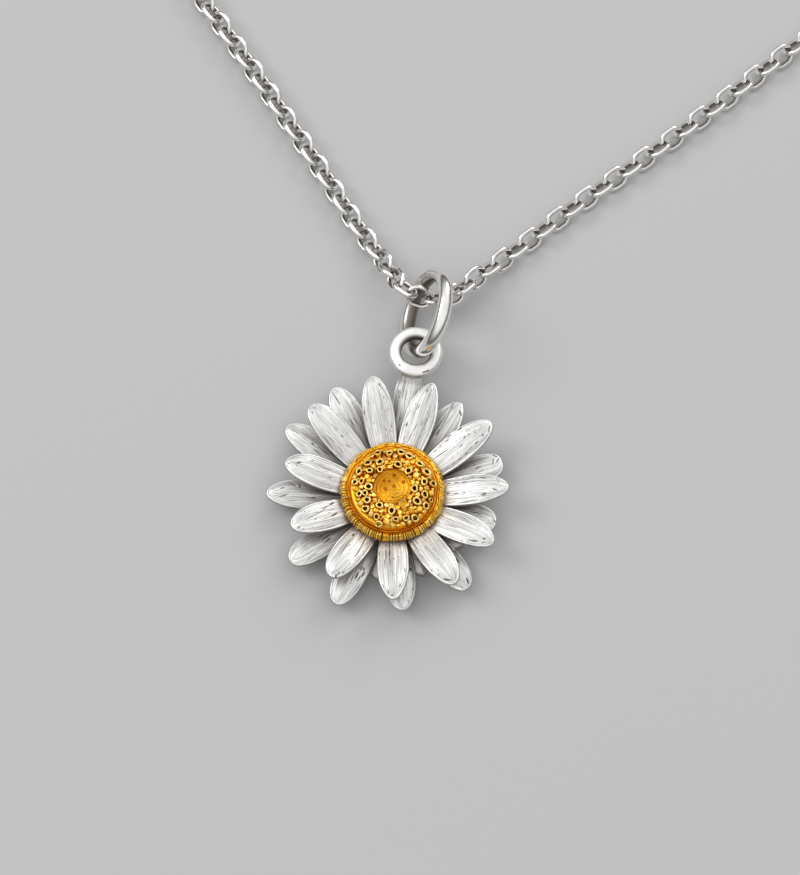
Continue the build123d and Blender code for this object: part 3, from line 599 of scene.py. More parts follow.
class Finish(Nodes):
    """A material in the making."""

    def __init__(self, name):
        self.material = bpy.data.materials.new(name)
        self.material.use_nodes = True
        super().__init__(self.material.node_tree)
        self.shader = self.tree.nodes["Principled BSDF"]

    def marks(self, name):
        """The three numbers of a piece's own attribute."""
        return self.parts(self.node("Attribute", {"attribute_name": name}, None, 1))

    def noise(self, vector, scale, detail=2.0, roughness=0.5):
        sockets = {"Vector": vector, "Scale": scale, "Detail": detail, "Roughness": roughness}
        return self.node("TexNoise", None, sockets)

    def larger(self, first, second):
        return self.node("Math", {"operation": "MAXIMUM"}, {0: first, 1: second})

    def vector(self, x, y, z):
        return self.node("CombineXYZ", None, {0: x, 1: y, 2: z})

    def place(self):
        """The piece's own coordinates, in millimetres."""
        where = self.node("TexCoord", None, None, 3)
        return self.node("VectorMath", {"operation": "SCALE"}, {0: where, "Scale": 1 / MM})

    def bump(self, height, depth, strength=1.0):
        """Feeds the shader's normal from a height of 0 to 1 and a depth in millimetres."""
        sockets = {"Strength": strength, "Distance": depth * MM, "Height": height}
        self.set(Normal=self.node("Bump", None, sockets))

    def set(self, **sockets):
        """Sets or links the shader's sockets, named without their spaces."""
        for name, value in sockets.items():
            self.feed(self.shader.inputs[name.replace("_", " ")], value)


def ease(low, high, value):
    """0 below low, 1 above high, eased between them."""
    share = np.clip((value - low) / (high - low), 0, 1)
    return share * share * (3 - 2 * share)


def outward(direction):
    """Unit vector away from the flower's axis."""
    return np.array((sin(radians(direction)), cos(radians(direction)), 0.0))


def grid_faces(rows, columns, round_rows=False, round_columns=False):
    """Corner numbers of each quad of a grid, closed round one way or both if asked."""
    row = np.arange(rows if round_rows else rows - 1)
    column = np.arange(columns if round_columns else columns - 1)
    row, column = np.meshgrid(row, column, indexing="ij")
    after = (row + 1) % rows
    beside = (column + 1) % columns
    start = row * columns
    end = after * columns
    return np.stack((start + column, end + column, end + beside, start + beside), -1).reshape(-1, 4)


def marks_of(shape, wear_and_painted_light, place=(0, 0, 0)):
    """The marks of a grid of points of that shape, from three numbers of marks and painted light and
    three of place.
    """
    numbers = [np.broadcast_to(number, shape) for number in (*place, *wear_and_painted_light)]
    return np.stack(numbers, -1).reshape(-1, 2, 3)


def equal_points(points, digits):
    """The first of each set of points equal to so many digits, and the set that each point is in."""
    keys = np.round(points, digits) + 0.0
    first, number = np.unique(keys, axis=0, return_index=True, return_inverse=True)[1:]
    return first, number.reshape(-1)


def join(shapes):
    """Joins shapes, each of points, faces and marks, into one."""
    points, faces, marks = zip(*shapes)
    starts = np.cumsum([0] + [len(p) for p in points[:-1]])
    faces = np.concatenate([f + start for f, start in zip(faces, starts)])
    return np.concatenate(points), faces, np.concatenate(marks)


def cleaned(shape):
    """A shape's points merged where they coincide, its faces, their kept corners, and its marks.

    A face has four corners, some of which fall together at a pole. Only the first of those is
    kept, and a face with fewer than three is dropped. The faces are turned over where the volume
    inside them, a sum of tetrahedra, comes out negative.
    """
    points, faces, marks = shape
    first, number = equal_points(points, 5)
    points = points[first]
    faces = number[faces]
    kept = faces != np.roll(faces, 1, axis=1)
    whole = kept.sum(1) > 2
    faces = faces[whole]
    kept = kept[whole]
    corner = points[faces]
    volume = np.einsum("ij,ij->i", corner[:, 0], np.cross(corner[:, 1], corner[:, 2]))
    volume += np.einsum("ij,ij->i", corner[:, 0], np.cross(corner[:, 2], corner[:, 3]))
    if volume.sum() < 0:
        faces = faces[:, ::-1]
        kept = kept[:, ::-1]
    return points, faces, kept, marks[first]


def make_piece(name, shape, finish, slot, *nodes):
    """Makes a piece from a shape, in its finish, on the root.

    The marks of a shape are two rows of three numbers for each point, kept as the attribute "place" and
    a second one for the marks and painted light.
    """
    points, faces, kept, marks = cleaned(shape)
    sides = kept.sum(1)
    mesh = bpy.data.meshes.new(name)
    mesh.vertices.add(len(points))
    mesh.vertices.foreach_set("co", (points * MM).astype(np.float32).ravel())
    mesh.loops.add(int(sides.sum()))
    mesh.loops.foreach_set("vertex_index", faces[kept].astype(np.int32))
    mesh.polygons.add(len(faces))
    starts = np.cumsum(sides) - sides
    mesh.polygons.foreach_set("loop_start", starts.astype(np.int32))
    mesh.polygons.foreach_set("use_smooth", np.ones(len(faces), bool))
    mesh.update(calc_edges=True)
    mesh.validate()
    # The second attribute carries rubbed rims, oxide marks, painted shade and painted highlights
    for layer, column in (("place", marks[:, 0]), ("wear_and_painted_light", marks[:, 1])):
        attribute = mesh.attributes.new(layer, "FLOAT_VECTOR", "POINT")
        attribute.data.foreach_set("vector", column.astype(np.float32).ravel())
    mesh.materials.append(finish.material)
    piece = bpy.data.objects.new(name, mesh)
    bpy.context.scene.collection.objects.link(piece)
    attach(piece, "root")
    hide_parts(*nodes)
    return piece


def petal_dents(number, x, y, length):
    """How deep the charted marks of a petal lie at each point: a flat-topped bell about each line."""
    half = PETAL_WIDTH / 2
    dent = np.zeros_like(x)
    for petal, across, along, to_across, to_along, width, depth in PETAL_MARKS:
        if petal != number:
            continue
        start = np.array((across * half, along * length))
        run = np.array((to_across * half, to_along * length)) - start
        share = ((x - start[0]) * run[0] + (y - start[1]) * run[1]) / (run @ run)
        share = np.clip(share, 0, 1)
        away = np.hypot(x - start[0] - share * run[0], y - start[1] - share * run[1])
        spread = MARK_SPREAD * width * (1 - MARK_TAPER * np.abs(2 * share - 1))
        dent = np.maximum(dent, MARK_STRENGTH * depth * np.exp(-(away / spread) ** 3))
    return dent


def petal_outline(length, roundness):
    """A petal's outline, once round from the middle of its root: four numbers for each point.

    They are how far it lies across and along, in mm, how far along the spine its line starts, and
    its hand, 1 on the right and -1 on the left. The outline widens as a quarter sine to its
    widest place and closes as a superellipse.
    """
    step = np.linspace(0, 1, SIDE_STEPS + 1)
    along = np.sin(np.clip((step - ROOT_PART) / (1 - ROOT_PART), 0, 1) * pi / 2)
    widening = ROOT_WIDTH + (1 - ROOT_WIDTH) * np.sin(np.clip(along / WIDEST_PLACE, 0, 1) * pi / 2)
    beyond = np.clip((along - WIDEST_PLACE) / (1 - WIDEST_PLACE), 0, 1)
    closing = np.clip(1 - beyond ** roundness, 0, 1) ** (1 / roundness)
    width = np.where(along < WIDEST_PLACE, widening, closing)
    width = width * np.minimum(step / ROOT_PART, 1) * PETAL_WIDTH / 2
    spine = SPINE_FROM + (SPINE_TO - SPINE_FROM) * along

    def both_sides(right, left):
        return np.concatenate((right, left[-2:0:-1]))

    across = both_sides(width, -width)
    hand = both_sides(np.ones_like(step), -np.ones_like(step))
    return across, both_sides(along, along) * length, both_sides(spine, spine) * length, hand


def petal_section(reach, rim_width):
    """The run from a petal's spine over the underside, up the edge, over the bead and back.

    The first grid is each point's share of the way from spine to outline, for lines of the given
    reach. The others have a number for each step of the run: how far up the edge it lies, its
    part in the edge's bulge and in the bead's crest, both arches of a sine, and how dark the
    crease is where the bead meets the field.
    """
    under = np.linspace(0, 1, 4)[:-1]
    wall = np.linspace(0, 1, 7)
    bead = np.linspace(0, 1, 8)[1:]
    field = np.linspace(1, 0, 37)[1:]
    inset = np.minimum(rim_width / reach, 0.5)[:, None]
    share = np.concatenate((
        np.broadcast_to(under, (len(reach), len(under))),
        np.ones((len(reach), len(wall))),
        1 - bead * inset,
        field * (1 - inset),
    ), axis=1)
    over = np.concatenate((0 * under, wall, 0 * bead + 1, 0 * field + 1))
    bulge = np.concatenate((0 * under, np.sin(wall * pi), 0 * bead, 0 * field))
    crest = np.concatenate((0 * under, 0 * wall, np.sin(bead * pi) ** 0.7, 0 * field))
    crease = np.zeros_like(over)
    field_start = len(over) - len(field)
    crease[field_start - 1:field_start + 1] = 0.30
    return share, over, bulge, crest, crease


def petal_folds(number, grain, place):
    """Soft folds along a petal: a sum of cosines across it, their phases the petal's own."""
    rng = np.random.default_rng(100 + number)
    folds = np.zeros_like(grain)
    for waves in FOLD_WAVES:
        phase = rng.uniform(0, 2 * pi)
        folds += np.cos(2 * pi * waves * grain + phase + 0.5 * place) / waves
    return folds


def petal_thickness(place):
    """Thickness along a petal, less by a power of the way from the thickest place to root or tip."""
    thick = 1 - ROOT_THINNING * np.clip(1 - place / THICKEST_PLACE, 0, 1) ** 2
    thick -= TIP_THINNING * np.clip((place - THICKEST_PLACE) / (1 - THICKEST_PLACE), 0, 1) ** 2.2
    return thick * PETAL_THICKNESS


def petal_shape(number, direction, root, length, base, rise, lift, roundness, settings, gusset=0.0):
    """One petal as a closed surface.

    The first parameter runs once round the outline, the second along the section. Lines from
    spine to outline slant forwards, so the rim goes round the tip as evenly as along the sides.
    The whole is lifted along its length by an eased curve. A gusset raises the top of the last
    part, where the petal runs into the loop.
    """
    across, along, spine, hand = petal_outline(length, roundness)
    reach = np.hypot(across, along - spine)
    share, over, bulge, crest, crease = petal_section(reach, settings.rim_width / MM)
    x = share * across[:, None]
    y = spine[:, None] + share * (along - spine)[:, None]
    place = y / length

    grain = 0.5 * x + 0.5 * share * hand[:, None] * PETAL_WIDTH / 2
    folds = petal_folds(number, grain, place)
    calm = ease(0, 0.3, 1 - share) * ease(0, 0.12, place) * (1 - 0.5 * ease(0.6, 0.95, place))
    relief = settings.rim_height / MM * (crest - 0.4 * calm)
    relief += settings.fold_height / MM * folds * calm
    dent = petal_dents(number, x, y, length) * over

    thick = petal_thickness(place)
    crown = EDGE_TOP + (SPINE_TOP - EDGE_TOP) * (1 - np.minimum(share, 1) ** 2.2)
    top = thick * crown + relief - MARK_DEPTH * dent + gusset * ease(0.84, 1.0, place)
    bottom = thick * EDGE_BOTTOM * share ** 2
    low = base + rise * ease(0, 1, place) + lift * place ** 4
    z = low + bottom + (top - bottom) * over
    outset = EDGE_BULGE * bulge / np.maximum(reach, 0.2)[:, None]
    x = x + outset * across[:, None]
    y = y + outset * (along - spine)[:, None]

    out = outward(direction)
    right = np.array((out[1], -out[0], 0.0))
    points = out * (root + y)[..., None] + right * x[..., None]
    points[..., 2] = z
    crease = crease * np.clip(0.5 + 0.9 * np.sin(along * 2.3 + number * 1.7), 0, 1)[:, None]
    # Side marks the edge walls and underside, where a dark reflection is painted
    side = np.clip(1 - over + bulge, 0, 1)
    marks = marks_of(x.shape, (crest, side, np.maximum(crease, dent)), (grain, y, number))
    return points.reshape(-1, 3), grid_faces(*x.shape, round_rows=True), marks


def petal_finish(settings, name, root_from, root_to, painted_shade_strength):
    """Matt brushed silver: streaks and engraved lines along the petal, pits, bright rims, and a painted
    dark reflection on the sides.

    Root_from and root_to are the distances from the root between which its painted shade, partly oxide,
    fades.
    """
    finish = Finish(name)
    grain, along, number = finish.marks("place")
    rim, side, dent = finish.marks("wear_and_painted_light")
    # Painted shade near the roots, under and between the petals, partly oxide
    painted_root_shade = (0.20, 0.18, 0.165)
    # Painted dark reflection on the petals' edge walls
    painted_side_reflection = (0.28, 0.24, 0.21)
    worn_shade = tuple(0.62 * part for part in settings.silver)

    def grained(across, fineness, length, seed, shift, detail=2, roughness=0.5):
        """Noise with so many waves to the mm across and along, and unlike from petal to petal."""
        where = finish.vector(across * fineness, along * length, number * seed + shift)
        return finish.noise(where, 1.0, detail, roughness)

    def lines(per_mm, seed, core, edge):
        """So many lines to the mm across: 1 within core, 0 past edge, as shares of their spacing."""
        return 1 - abs((across * per_mm + number * seed).fraction() - 0.5).smooth(core, edge)

    drift = grained(grain, 1.1, 0.22, 3.7, 0) - 0.5
    wander = grained(grain, 2.6, 0.5, 5.3, 60) - 0.5
    across = grain + drift * 0.34 + wander * 0.14
    streak = grained(across, 4.6, 0.20, 7.3, 0, 2, 0.55)
    fine = grained(across, 13, 0.50, 2.3, 9, 3, 0.65)
    cloud = grained(grain, 1.4, 0.6, 8.9, 0)
    broken = grained(across, 4, 0.9, 2.9, 80, 2, 0.6)
    dashes = grained(across, 5, 1.8, 6.1, 30)
    pits = grained(grain, 7, 5, 4.3, 20, 1, 0.4)
    thin_line = lines(6.4, 0.37, 0.03, 0.18) * 0.40 * broken.smooth(0.40, 0.60)
    bold_line = lines(1.9, 0.61, 0.015, 0.06) * 0.42 * dashes.smooth(0.54, 0.64)

    calm = 1 - rim.smooth(0.15, 0.6)
    cut = finish.larger(finish.larger(thin_line, bold_line), pits.smooth(0.74, 0.79) * 0.8)
    dark = finish.larger(cut * calm, dent)
    # Darker towards the root: painted shade, partly oxide
    root = 1 - along.smooth(root_from, root_to)
    grey = (1 - streak.smooth(0.38, 0.58)) * 0.55 + (1 - fine.smooth(0.34, 0.60)) * 0.42
    worn = (grey + cloud.smooth(0.40, 0.66) * 0.18) * calm
    colour = finish.mix(worn, settings.silver, worn_shade)
    colour = finish.mix(root * painted_shade_strength, colour, painted_root_shade)
    colour = finish.mix(dark, colour, settings.tarnish)
    # The edge walls take the painted dark reflection
    colour = finish.mix(side.smooth(0.3, 0.9) * 0.75, colour, painted_side_reflection)
    finish.set(Base_Color=colour, Metallic=1.0)
    finish.set(Roughness=settings.matt + dark * 0.2 - rim.smooth(0.3, 0.9) * 0.2)
    finish.bump(streak * 0.8 + fine * 0.3 - dark * 0.6, 0.03, 0.8)
    return finish


def cast_finish():
    """Plain cast silver, cloudy and a little rough, for what lies behind the petals."""
    finish = Finish("oxidised silver")
    dark_silver = (0.50, 0.47, 0.45)
    light_silver = (0.80, 0.78, 0.76)
    where = finish.place()
    cloud = finish.noise(where, 1.4, 4)
    finish.set(Base_Color=finish.mix(cloud.smooth(0.3, 0.7), dark_silver, light_silver))
    finish.set(Metallic=1.0, Roughness=0.38 + cloud * 0.2)
    finish.bump(finish.noise(where, 4.0, 3), 0.03, 0.7)
    return finish


def polished_finish(silver, name, roughness):
    """Polished or satin silver, a little dull, with brownish painted shade and reflection inside a ring,
    and nearly black in slits.
    """
    finish = Finish(name)
    inner, dent = finish.marks("wear_and_painted_light")[::2]
    dull = (0.62, 0.59, 0.56)
    # Painted shade and dark reflection on the inner side of rings and links
    painted_inner_shade = (0.17, 0.13, 0.105)
    slit_shade = (0.03, 0.025, 0.02)
    where = finish.place()
    cloud = finish.noise(where, 0.9, 3)
    colour = finish.mix(cloud.smooth(0.35, 0.7) * 0.3, silver, dull)
    # The inner side is darkened with painted shade
    colour = finish.mix(inner.smooth(0.58, 0.98) * 0.88, colour, painted_inner_shade)
    finish.set(Base_Color=finish.mix(dent.smooth(0.2, 0.7), colour, slit_shade))
    finish.set(Metallic=1.0, Roughness=roughness + cloud * 0.12 + inner.smooth(0.5, 1.0) * 0.12)
    finish.bump(finish.noise(where, 6.0, 2), 0.006, 0.6)
    return finish


def gold_finish(settings):
    """Satin gilding with pale and dark patches and dark grit.

    The marks paint light and shade: orange painted shade where it lies deep, a pale painted highlight on
    edges and brown painted shade in holes.
    """
    finish = Finish("gilded silver")
    deep, edge, hole = finish.marks("wear_and_painted_light")
    pale_gold = (1.0, 0.60, 0.070)
    dark_gold = (0.52, 0.20, 0.005)
    grit_shade = (0.32, 0.10, 0.003)
    # Painted highlight on edges, rims and crests
    painted_highlight_gold = (1.0, 0.77, 0.25)
    # Painted shade, nearly black, in holes, pits, creases and crevices
    painted_hole_shade = (0.110, 0.028, 0.002)
    where = finish.place()
    cloud = finish.noise(where, 1.3, 3)
    patch = finish.noise(where, 3.4, 2, 0.6)
    grit = finish.noise(where, 8.0, 3, 0.6)
    # Painted highlight where the edge mark is high, broken by grit
    bright = edge.smooth(0.25, 0.9) * (1 - grit.smooth(0.50, 0.66) * 0.6)
    colour = finish.mix(cloud.smooth(0.40, 0.62) * 0.6, settings.gold, pale_gold)
    colour = finish.mix(patch.smooth(0.50, 0.72) * 0.4, colour, dark_gold)
    # Painted shade where the gilding lies deep
    colour = finish.mix(deep.smooth(0.1, 1.0) * 0.75, colour, settings.painted_gold_shade)
    colour = finish.mix(grit.smooth(0.54, 0.68) * 0.5, colour, grit_shade)
    colour = finish.mix(bright, colour, painted_highlight_gold)
    # Holes, pits, creases and crevices are painted dark as shade
    colour = finish.mix(hole.smooth(0.1, 0.85), colour, painted_hole_shade)
    finish.set(Base_Color=colour, Metallic=1.0, Roughness=0.22 + cloud * 0.14 + hole * 0.3)
    finish.bump(grit * 0.7 + patch * 0.3, 0.06, 0.9)
    return finish


def ring_shape(radius, wire, centre, normal, around=128, sides=32, swell=None, squareness=1.0):
    """A wire ring: a circle carried along a circle, thicker where swell says.

    A squareness under 1 makes the wire's section a superellipse, flatter on top and below. The first
    number of the marks rises from 0 on the ring's outer side to 1 on its inner side, where shade is
    painted.
    """
    normal = np.array(normal, float)
    normal = normal / np.linalg.norm(normal)
    first = np.cross(normal, (0.0, 0.0, 1.0) if abs(normal[2]) < 0.9 else (0.0, 1.0, 0.0))
    first = first / np.linalg.norm(first)
    second = np.cross(normal, first)
    turn = np.arange(around) * 2 * pi / around
    section = np.arange(sides) * 2 * pi / sides
    out = np.cos(turn)[:, None] * first + np.sin(turn)[:, None] * second
    thick = wire / 2 * (np.ones(around) if swell is None else swell(out))
    beside = np.sign(np.cos(section)) * np.abs(np.cos(section)) ** squareness
    above = np.sign(np.sin(section)) * np.abs(np.sin(section)) ** squareness
    reach = radius + thick[:, None] * beside
    points = np.array(centre, float) + reach[..., None] * out[:, None, :]
    points = points + (thick[:, None] * above)[..., None] * normal
    marks = marks_of(reach.shape, (0.5 - 0.5 * np.cos(section), 0, 0))
    return points.reshape(-1, 3), grid_faces(around, sides, True, True), marks


def loop_shape():
    """The hanging loop: a ring of flattened wire that swells at its foot, with slits in its top.

    A slit is drawn by a bell about an arc round the loop's middle.
    """
    def foot(out):
        return 1 + LOOP_SWELLING * ease(0.64, 0.95, -out[:, 1])

    points, faces, marks = ring_shape(
        LOOP_RADIUS, LOOP_WIRE, (0, LOOP_PLACE, LOOP_HEIGHT), (0, 0, 1),
        LOOP_STEPS, LOOP_WIRE_STEPS, foot, LOOP_SQUARENESS)
    direction = np.degrees(np.arctan2(points[:, 0], points[:, 1] - LOOP_PLACE)) % 360
    radius = np.hypot(points[:, 0], points[:, 1] - LOOP_PLACE)
    for start, end, place, width, depth in LOOP_MARKS:
        beyond = np.maximum(0, np.maximum(start - direction, direction - end))
        away = np.hypot(np.radians(beyond) * place, radius - place)
        slit = depth * np.exp(-(away / (width / 2)) ** 2) * (points[:, 2] > LOOP_HEIGHT)
        marks[:, 1, 2] = np.maximum(marks[:, 1, 2], slit)
    return points, faces, marks


def turned_shape(profile, around, change):
    """A profile of radius, height and three marks of painted shade and highlight, turned about the
    flower's axis.

    change takes the directions and the five grids, and gives the grids back changed.
    """
    turn = np.arange(around)[:, None] * 2 * pi / around
    grids = [np.broadcast_to(column, (around, len(profile))) for column in np.array(profile, float).T]
    radius, height, deep, edge, hole = change(turn, *grids)
    points = np.stack((radius * np.sin(turn), radius * np.cos(turn), height), -1)
    marks = marks_of(radius.shape, (deep, edge, hole))
    return points.reshape(-1, 3), grid_faces(*radius.shape, round_rows=True), marks


def calyx_shape():
    """Pointed plate, hub and socket: a turned profile whose rim follows the points between petals."""
    directions = sorted([LOOP_DIRECTION] + [row[0] for row in BACK_PETALS])
    corner_at = []
    corner_reach = []
    for direction, following in zip(directions, directions[1:] + [directions[0] + 360]):
        corner_at += [direction, (direction + following) / 2]
        corner_reach += [CALYX_VALLEY, CALYX_REACH]
    corner_at.append(corner_at[0] + 360)
    corner_reach.append(corner_reach[0])
    socket = PEG_RADIUS + SEAT_GAP
    floor = GOLD_BASE - PEG_LENGTH - SEAT_GAP
    rim = CALYX_VALLEY
    plate = CALYX_THICKNESS
    outline = [(0, 0), (0.4 * rim, 0), (0.8 * rim, 0), (rim - CALYX_ROUND, 0), (rim, CALYX_ROUND)]
    outline += [(rim, plate / 2), (rim, plate - CALYX_BEVEL), (rim - CALYX_BEVEL, plate)]
    outline += [(0.88 * rim, plate), (HUB_RADIUS + HUB_FILLET, plate), (HUB_RADIUS, plate + HUB_FILLET)]
    outline += [(HUB_RADIUS, HUB_TOP), (socket, HUB_TOP), (socket, floor), (0, floor)]
    profile = [(radius, height, 0, 0, 0) for radius, height in outline]

    def points_out(turn, radius, height, *wear_and_painted_light):
        """Draws the plate's outermost millimetre out to the points."""
        reach = np.interp(np.degrees(turn), corner_at, corner_reach)
        share = ease(CALYX_VALLEY - 1, CALYX_VALLEY, radius) * (radius > HUB_RADIUS + 2 * HUB_FILLET)
        return radius + (reach - CALYX_VALLEY) * share, height, *wear_and_painted_light

    return turned_shape(profile, CALYX_STEPS, points_out)


def dome_height(radius):
    """Height of the dome over the gold base, a quarter cosine from the cup's edge to the wall."""
    share = np.clip((radius - CUP_RADIUS) / (DOME_RADIUS - CUP_RADIUS), 0, 1)
    return DOME_WALL + (DOME_HEIGHT - DOME_WALL) * np.cos(share * pi / 2)


def sines(turn, rows):
    """A sum of sines round the axis, from rows of height, waves to the turn and phase."""
    return sum(height * np.sin(waves * turn + phase) for height, waves, phase in rows)


def collar_profile():
    """Radius, height, painted shade and painted highlight of the collar: its peg, its flared side and
    its top down to the groove.
    """
    top = COLLAR_RADIUS - COLLAR_FLARE
    crest = COLLAR_HEIGHT - COLLAR_CORNER / 2
    peg = GOLD_BASE - PEG_LENGTH
    profile = [(0, peg, 0, 0, 0), (PEG_RADIUS, peg, 0, 0, 0), (PEG_RADIUS, GOLD_BASE, 0, 0, 0)]
    profile.append((COLLAR_RADIUS - 1.5 * COLLAR_CORNER, GOLD_BASE, 1, 0, 0))
    # The side gets painted shade low down and a painted highlight higher up
    for share in np.linspace(0, 1, 14):
        radius = COLLAR_RADIUS - (COLLAR_FLARE - COLLAR_CORNER) * share ** 1.3
        height = COLLAR_CORNER + (COLLAR_HEIGHT - 2 * COLLAR_CORNER) * share
        profile.append((radius, GOLD_BASE + height, 0.5 - 0.5 * share, 0.45 + 0.45 * share, 0))
    # The top gets more painted shade towards the groove, and a painted highlight at its outer edge
    for share in np.linspace(0, 1, 16)[1:]:
        radius = top - (top - DOME_RADIUS - GROOVE_WIDTH) * share
        height = crest - (crest - GROOVE_FLOOR) * ease(0.1, 0.95, share)
        profile.append((radius, GOLD_BASE + height, 0.15 + 0.55 * share, 0.35 * (1 - share) ** 3, 0))
    # The groove's floor is painted dark as shade
    floor = GOLD_BASE + GROOVE_FLOOR - COLLAR_CORNER / 2
    profile.append((DOME_RADIUS + COLLAR_CORNER / 2, floor, 1, 0, 0.7))
    return profile + [(DOME_RADIUS - 0.1, floor, 1, 0, 1), (0, floor, 1, 0, 0)]


def pleated(turn, radius, height, deep, edge, hole):
    """Pleats the collar's side all round and its top in the south, and roughens its top in the north.

    A pleat is an arch of a sine, raised to a power that makes it round on top and sharp between.
    Pleats differ in width, depth and shine. The top's roughness is a bent sine and a product of two.
    """
    top = COLLAR_RADIUS - COLLAR_FLARE
    is_top = radius <= top - COLLAR_CORNER / 2
    outside = ~is_top & (height > GOLD_BASE - 0.01)
    band = is_top & (radius > DOME_RADIUS + 0.03) & (height > GOLD_BASE + 0.2)
    across = np.clip((radius - DOME_RADIUS) / (top - DOME_RADIUS), 0, 1)
    low = np.clip(1 - (height - GOLD_BASE) / COLLAR_HEIGHT, 0.35, 1)
    south = ease(-0.2, 0.6, -np.cos(turn - 0.25))
    north = 1 - south

    place = turn * PLEATS / (2 * pi) + sines(turn, PLEAT_DRIFT)
    fold = np.abs(np.sin(pi * place)) ** 0.6
    number = np.floor(place)
    depth = 0.66 + 0.34 * np.sin(number * 2.4) * np.sin(number * 0.7 + 1)
    shine = 0.6 + 0.4 * np.sin(number * 1.9 + 2)
    where = outside * (0.5 + 0.5 * south) + band * south * (0.35 + 0.65 * across)
    crease = (1 - fold) * depth * where

    ragged = sines(turn, RAGGED_EDGE) + 0.020 * np.sin(67 * turn + 3 * np.sin(5 * turn))
    inset = PLEAT_INSET * (1 - fold) * depth * (0.6 + 0.4 * south) + EDGE_SETBACK + ragged
    for direction, width, notch in COLLAR_NOTCHES:
        away = np.abs((np.degrees(turn) - direction + 180) % 360 - 180)
        inset = inset + notch * np.exp(-(away / width) ** 4)

    curl = np.sin(radius * 34 + 1.6 * np.sin(5 * turn) + 1.1 * np.sin(13 * turn + 1))
    knob = np.sin(31 * turn + 2 * np.sin(radius * 9)) * np.sin(radius * 17 + 3 * np.sin(7 * turn))
    raised = north * (0.036 * curl + 0.034 * knob) + south * (0.018 * curl + 0.030 * (shine - 0.6))
    raised = band * across * raised
    hollow = band * north * ease(0.01, 0.05, -raised)
    deep_hollow = band * north * ease(0.02, 0.05, -raised)
    height = height - PLEAT_CREASE * crease * band + raised

    # Painted highlight on the pleats' crests, stronger where they shine, and on the raised bumps
    pleat_crest = 0.95 * south * fold ** 4 * shine * ease(0.1, 0.6, across)
    crest = band * (pleat_crest + 0.7 * north * ease(0.02, 0.05, raised))
    faded = 0.35 + 0.65 * ease(-0.9, 0.7, np.sin(2 * turn + 0.4) + 0.6 * np.sin(5 * turn + 2))
    # Creases and low spots get painted shade
    deep = np.maximum(deep * (1 - 0.5 * north * across), np.maximum(crease * 1.3, hollow))
    edge = np.maximum(edge * shine * (1 - crease), crest)
    # Painted shade in the groove's floor, fading round it, and in the creases and low spots
    hole = hole * np.where(radius < DOME_RADIUS + 0.03, faded, 1)
    hole = hole + 1.2 * ease(0.10, 0.50, crease) + 0.7 * deep_hollow
    return radius - inset * outside * low, height, deep, edge, hole


def collar_shape():
    """Collar of the gold centre with the peg under it: its profile turned, pleated and roughened."""
    return turned_shape(collar_profile(), COLLAR_STEPS, pleated)


def floret_place(direction, share):
    """Where a tube stands on the bed, seen from above."""
    return outward(direction) * (CUP_RADIUS + share * (DOME_RADIUS - CUP_RADIUS))


def grain_places():
    """The small grains between the florets, thrown down one by one, the largest first.

    A row gives a grain's place, size, turn, tilt two ways and height. A grain is kept where it
    touches no tube and no earlier grain too closely.
    """
    rng = np.random.default_rng(7)
    edge = DOME_RADIUS - 0.06
    taken = [(*floret_place(direction, share)[:2], tube) for direction, share, tube in FLORETS]
    for size in GRAIN_SIZES:
        for throw in range(GRAIN_THROWS):
            radius = rng.uniform(CUP_RADIUS + 0.02, edge)
            direction = rng.uniform(0, 360)
            bare = BARE_WIDTH * max(0, cos(radians(direction - BARE_DIRECTION))) ** 2
            if radius > edge - bare:
                continue
            spot = outward(direction) * radius
            room = size * rng.uniform(0.85, 1.15)
            if all(np.hypot(spot[0] - x, spot[1] - y) > 0.84 * (room + other) for x, y, other in taken):
                taken.append((spot[0], spot[1], room))
    grains = np.array(taken[len(FLORETS):])
    return np.concatenate((grains, rng.uniform(-1, 1, (len(grains), 4))), axis=1)


def grain_heights(x, y):
    """How high the grains stand at each point: low blocks with rounded edges, a little tilted."""
    raised = np.zeros_like(x)
    for grain_x, grain_y, size, turned, tilt_x, tilt_y, rise in grain_places():
        dx = x - grain_x
        dy = y - grain_y
        near = (np.abs(dx) < 1.2 * size) & (np.abs(dy) < 1.2 * size)
        along = dx * cos(3 * turned) + dy * sin(3 * turned)
        beside = dy * cos(3 * turned) - dx * sin(3 * turned)
        away = (np.abs(along / size) ** 3 + np.abs(beside / size) ** 3) ** (1 / 3)
        top = GRAIN_HEIGHT + 0.04 * rise + 0.50 * (tilt_x * dx + tilt_y * dy)
        raised = np.maximum(raised, np.clip(1 - away ** 6, 0, 1) ** 0.5 * top * near)
    return raised


def dome_profile():
    """Radius, height, painted shade and painted highlight of the dome: its foot, its upright wall, the
    bed and the cup.
    """
    foot = GOLD_BASE + 0.2
    profile = [(0, foot, 0, 0, 0), (DOME_RADIUS - 0.05, foot, 1, 0, 0.6)]
    for share in np.linspace(0, 1, 14):
        radius = DOME_RADIUS - 0.10 * share ** 3
        height = GROOVE_FLOOR + (DOME_WALL - 0.06 - GROOVE_FLOOR) * share
        # The wall gets painted shade at its foot and a painted highlight towards its top
        deep = 0.9 * (1 - share) ** 2 + 0.2
        profile.append((radius, GOLD_BASE + height, deep, 0.4 * share, 0.6 * (1 - share) ** 6))
    for radius in np.linspace(DOME_RADIUS - 0.12, CUP_RADIUS + 0.05, 62):
        profile.append((radius, GOLD_BASE + dome_height(radius) - BED_DEPTH, 0.3, 0, 0))
    lip = 0.04
    for share in np.linspace(1, 0, 40):
        height = DOME_HEIGHT - lip - (CUP_DEPTH - lip) * np.clip(1 - share ** 2.4, 0, 1)
        height += 0.006 * np.sin(share * 60) * share
        # The cup gets painted shade all over
        deep = 0.90 + 0.1 * share ** 2
        profile.append((CUP_RADIUS * share, GOLD_BASE + height, deep, 0, 0.3 * share ** 4))
    return profile


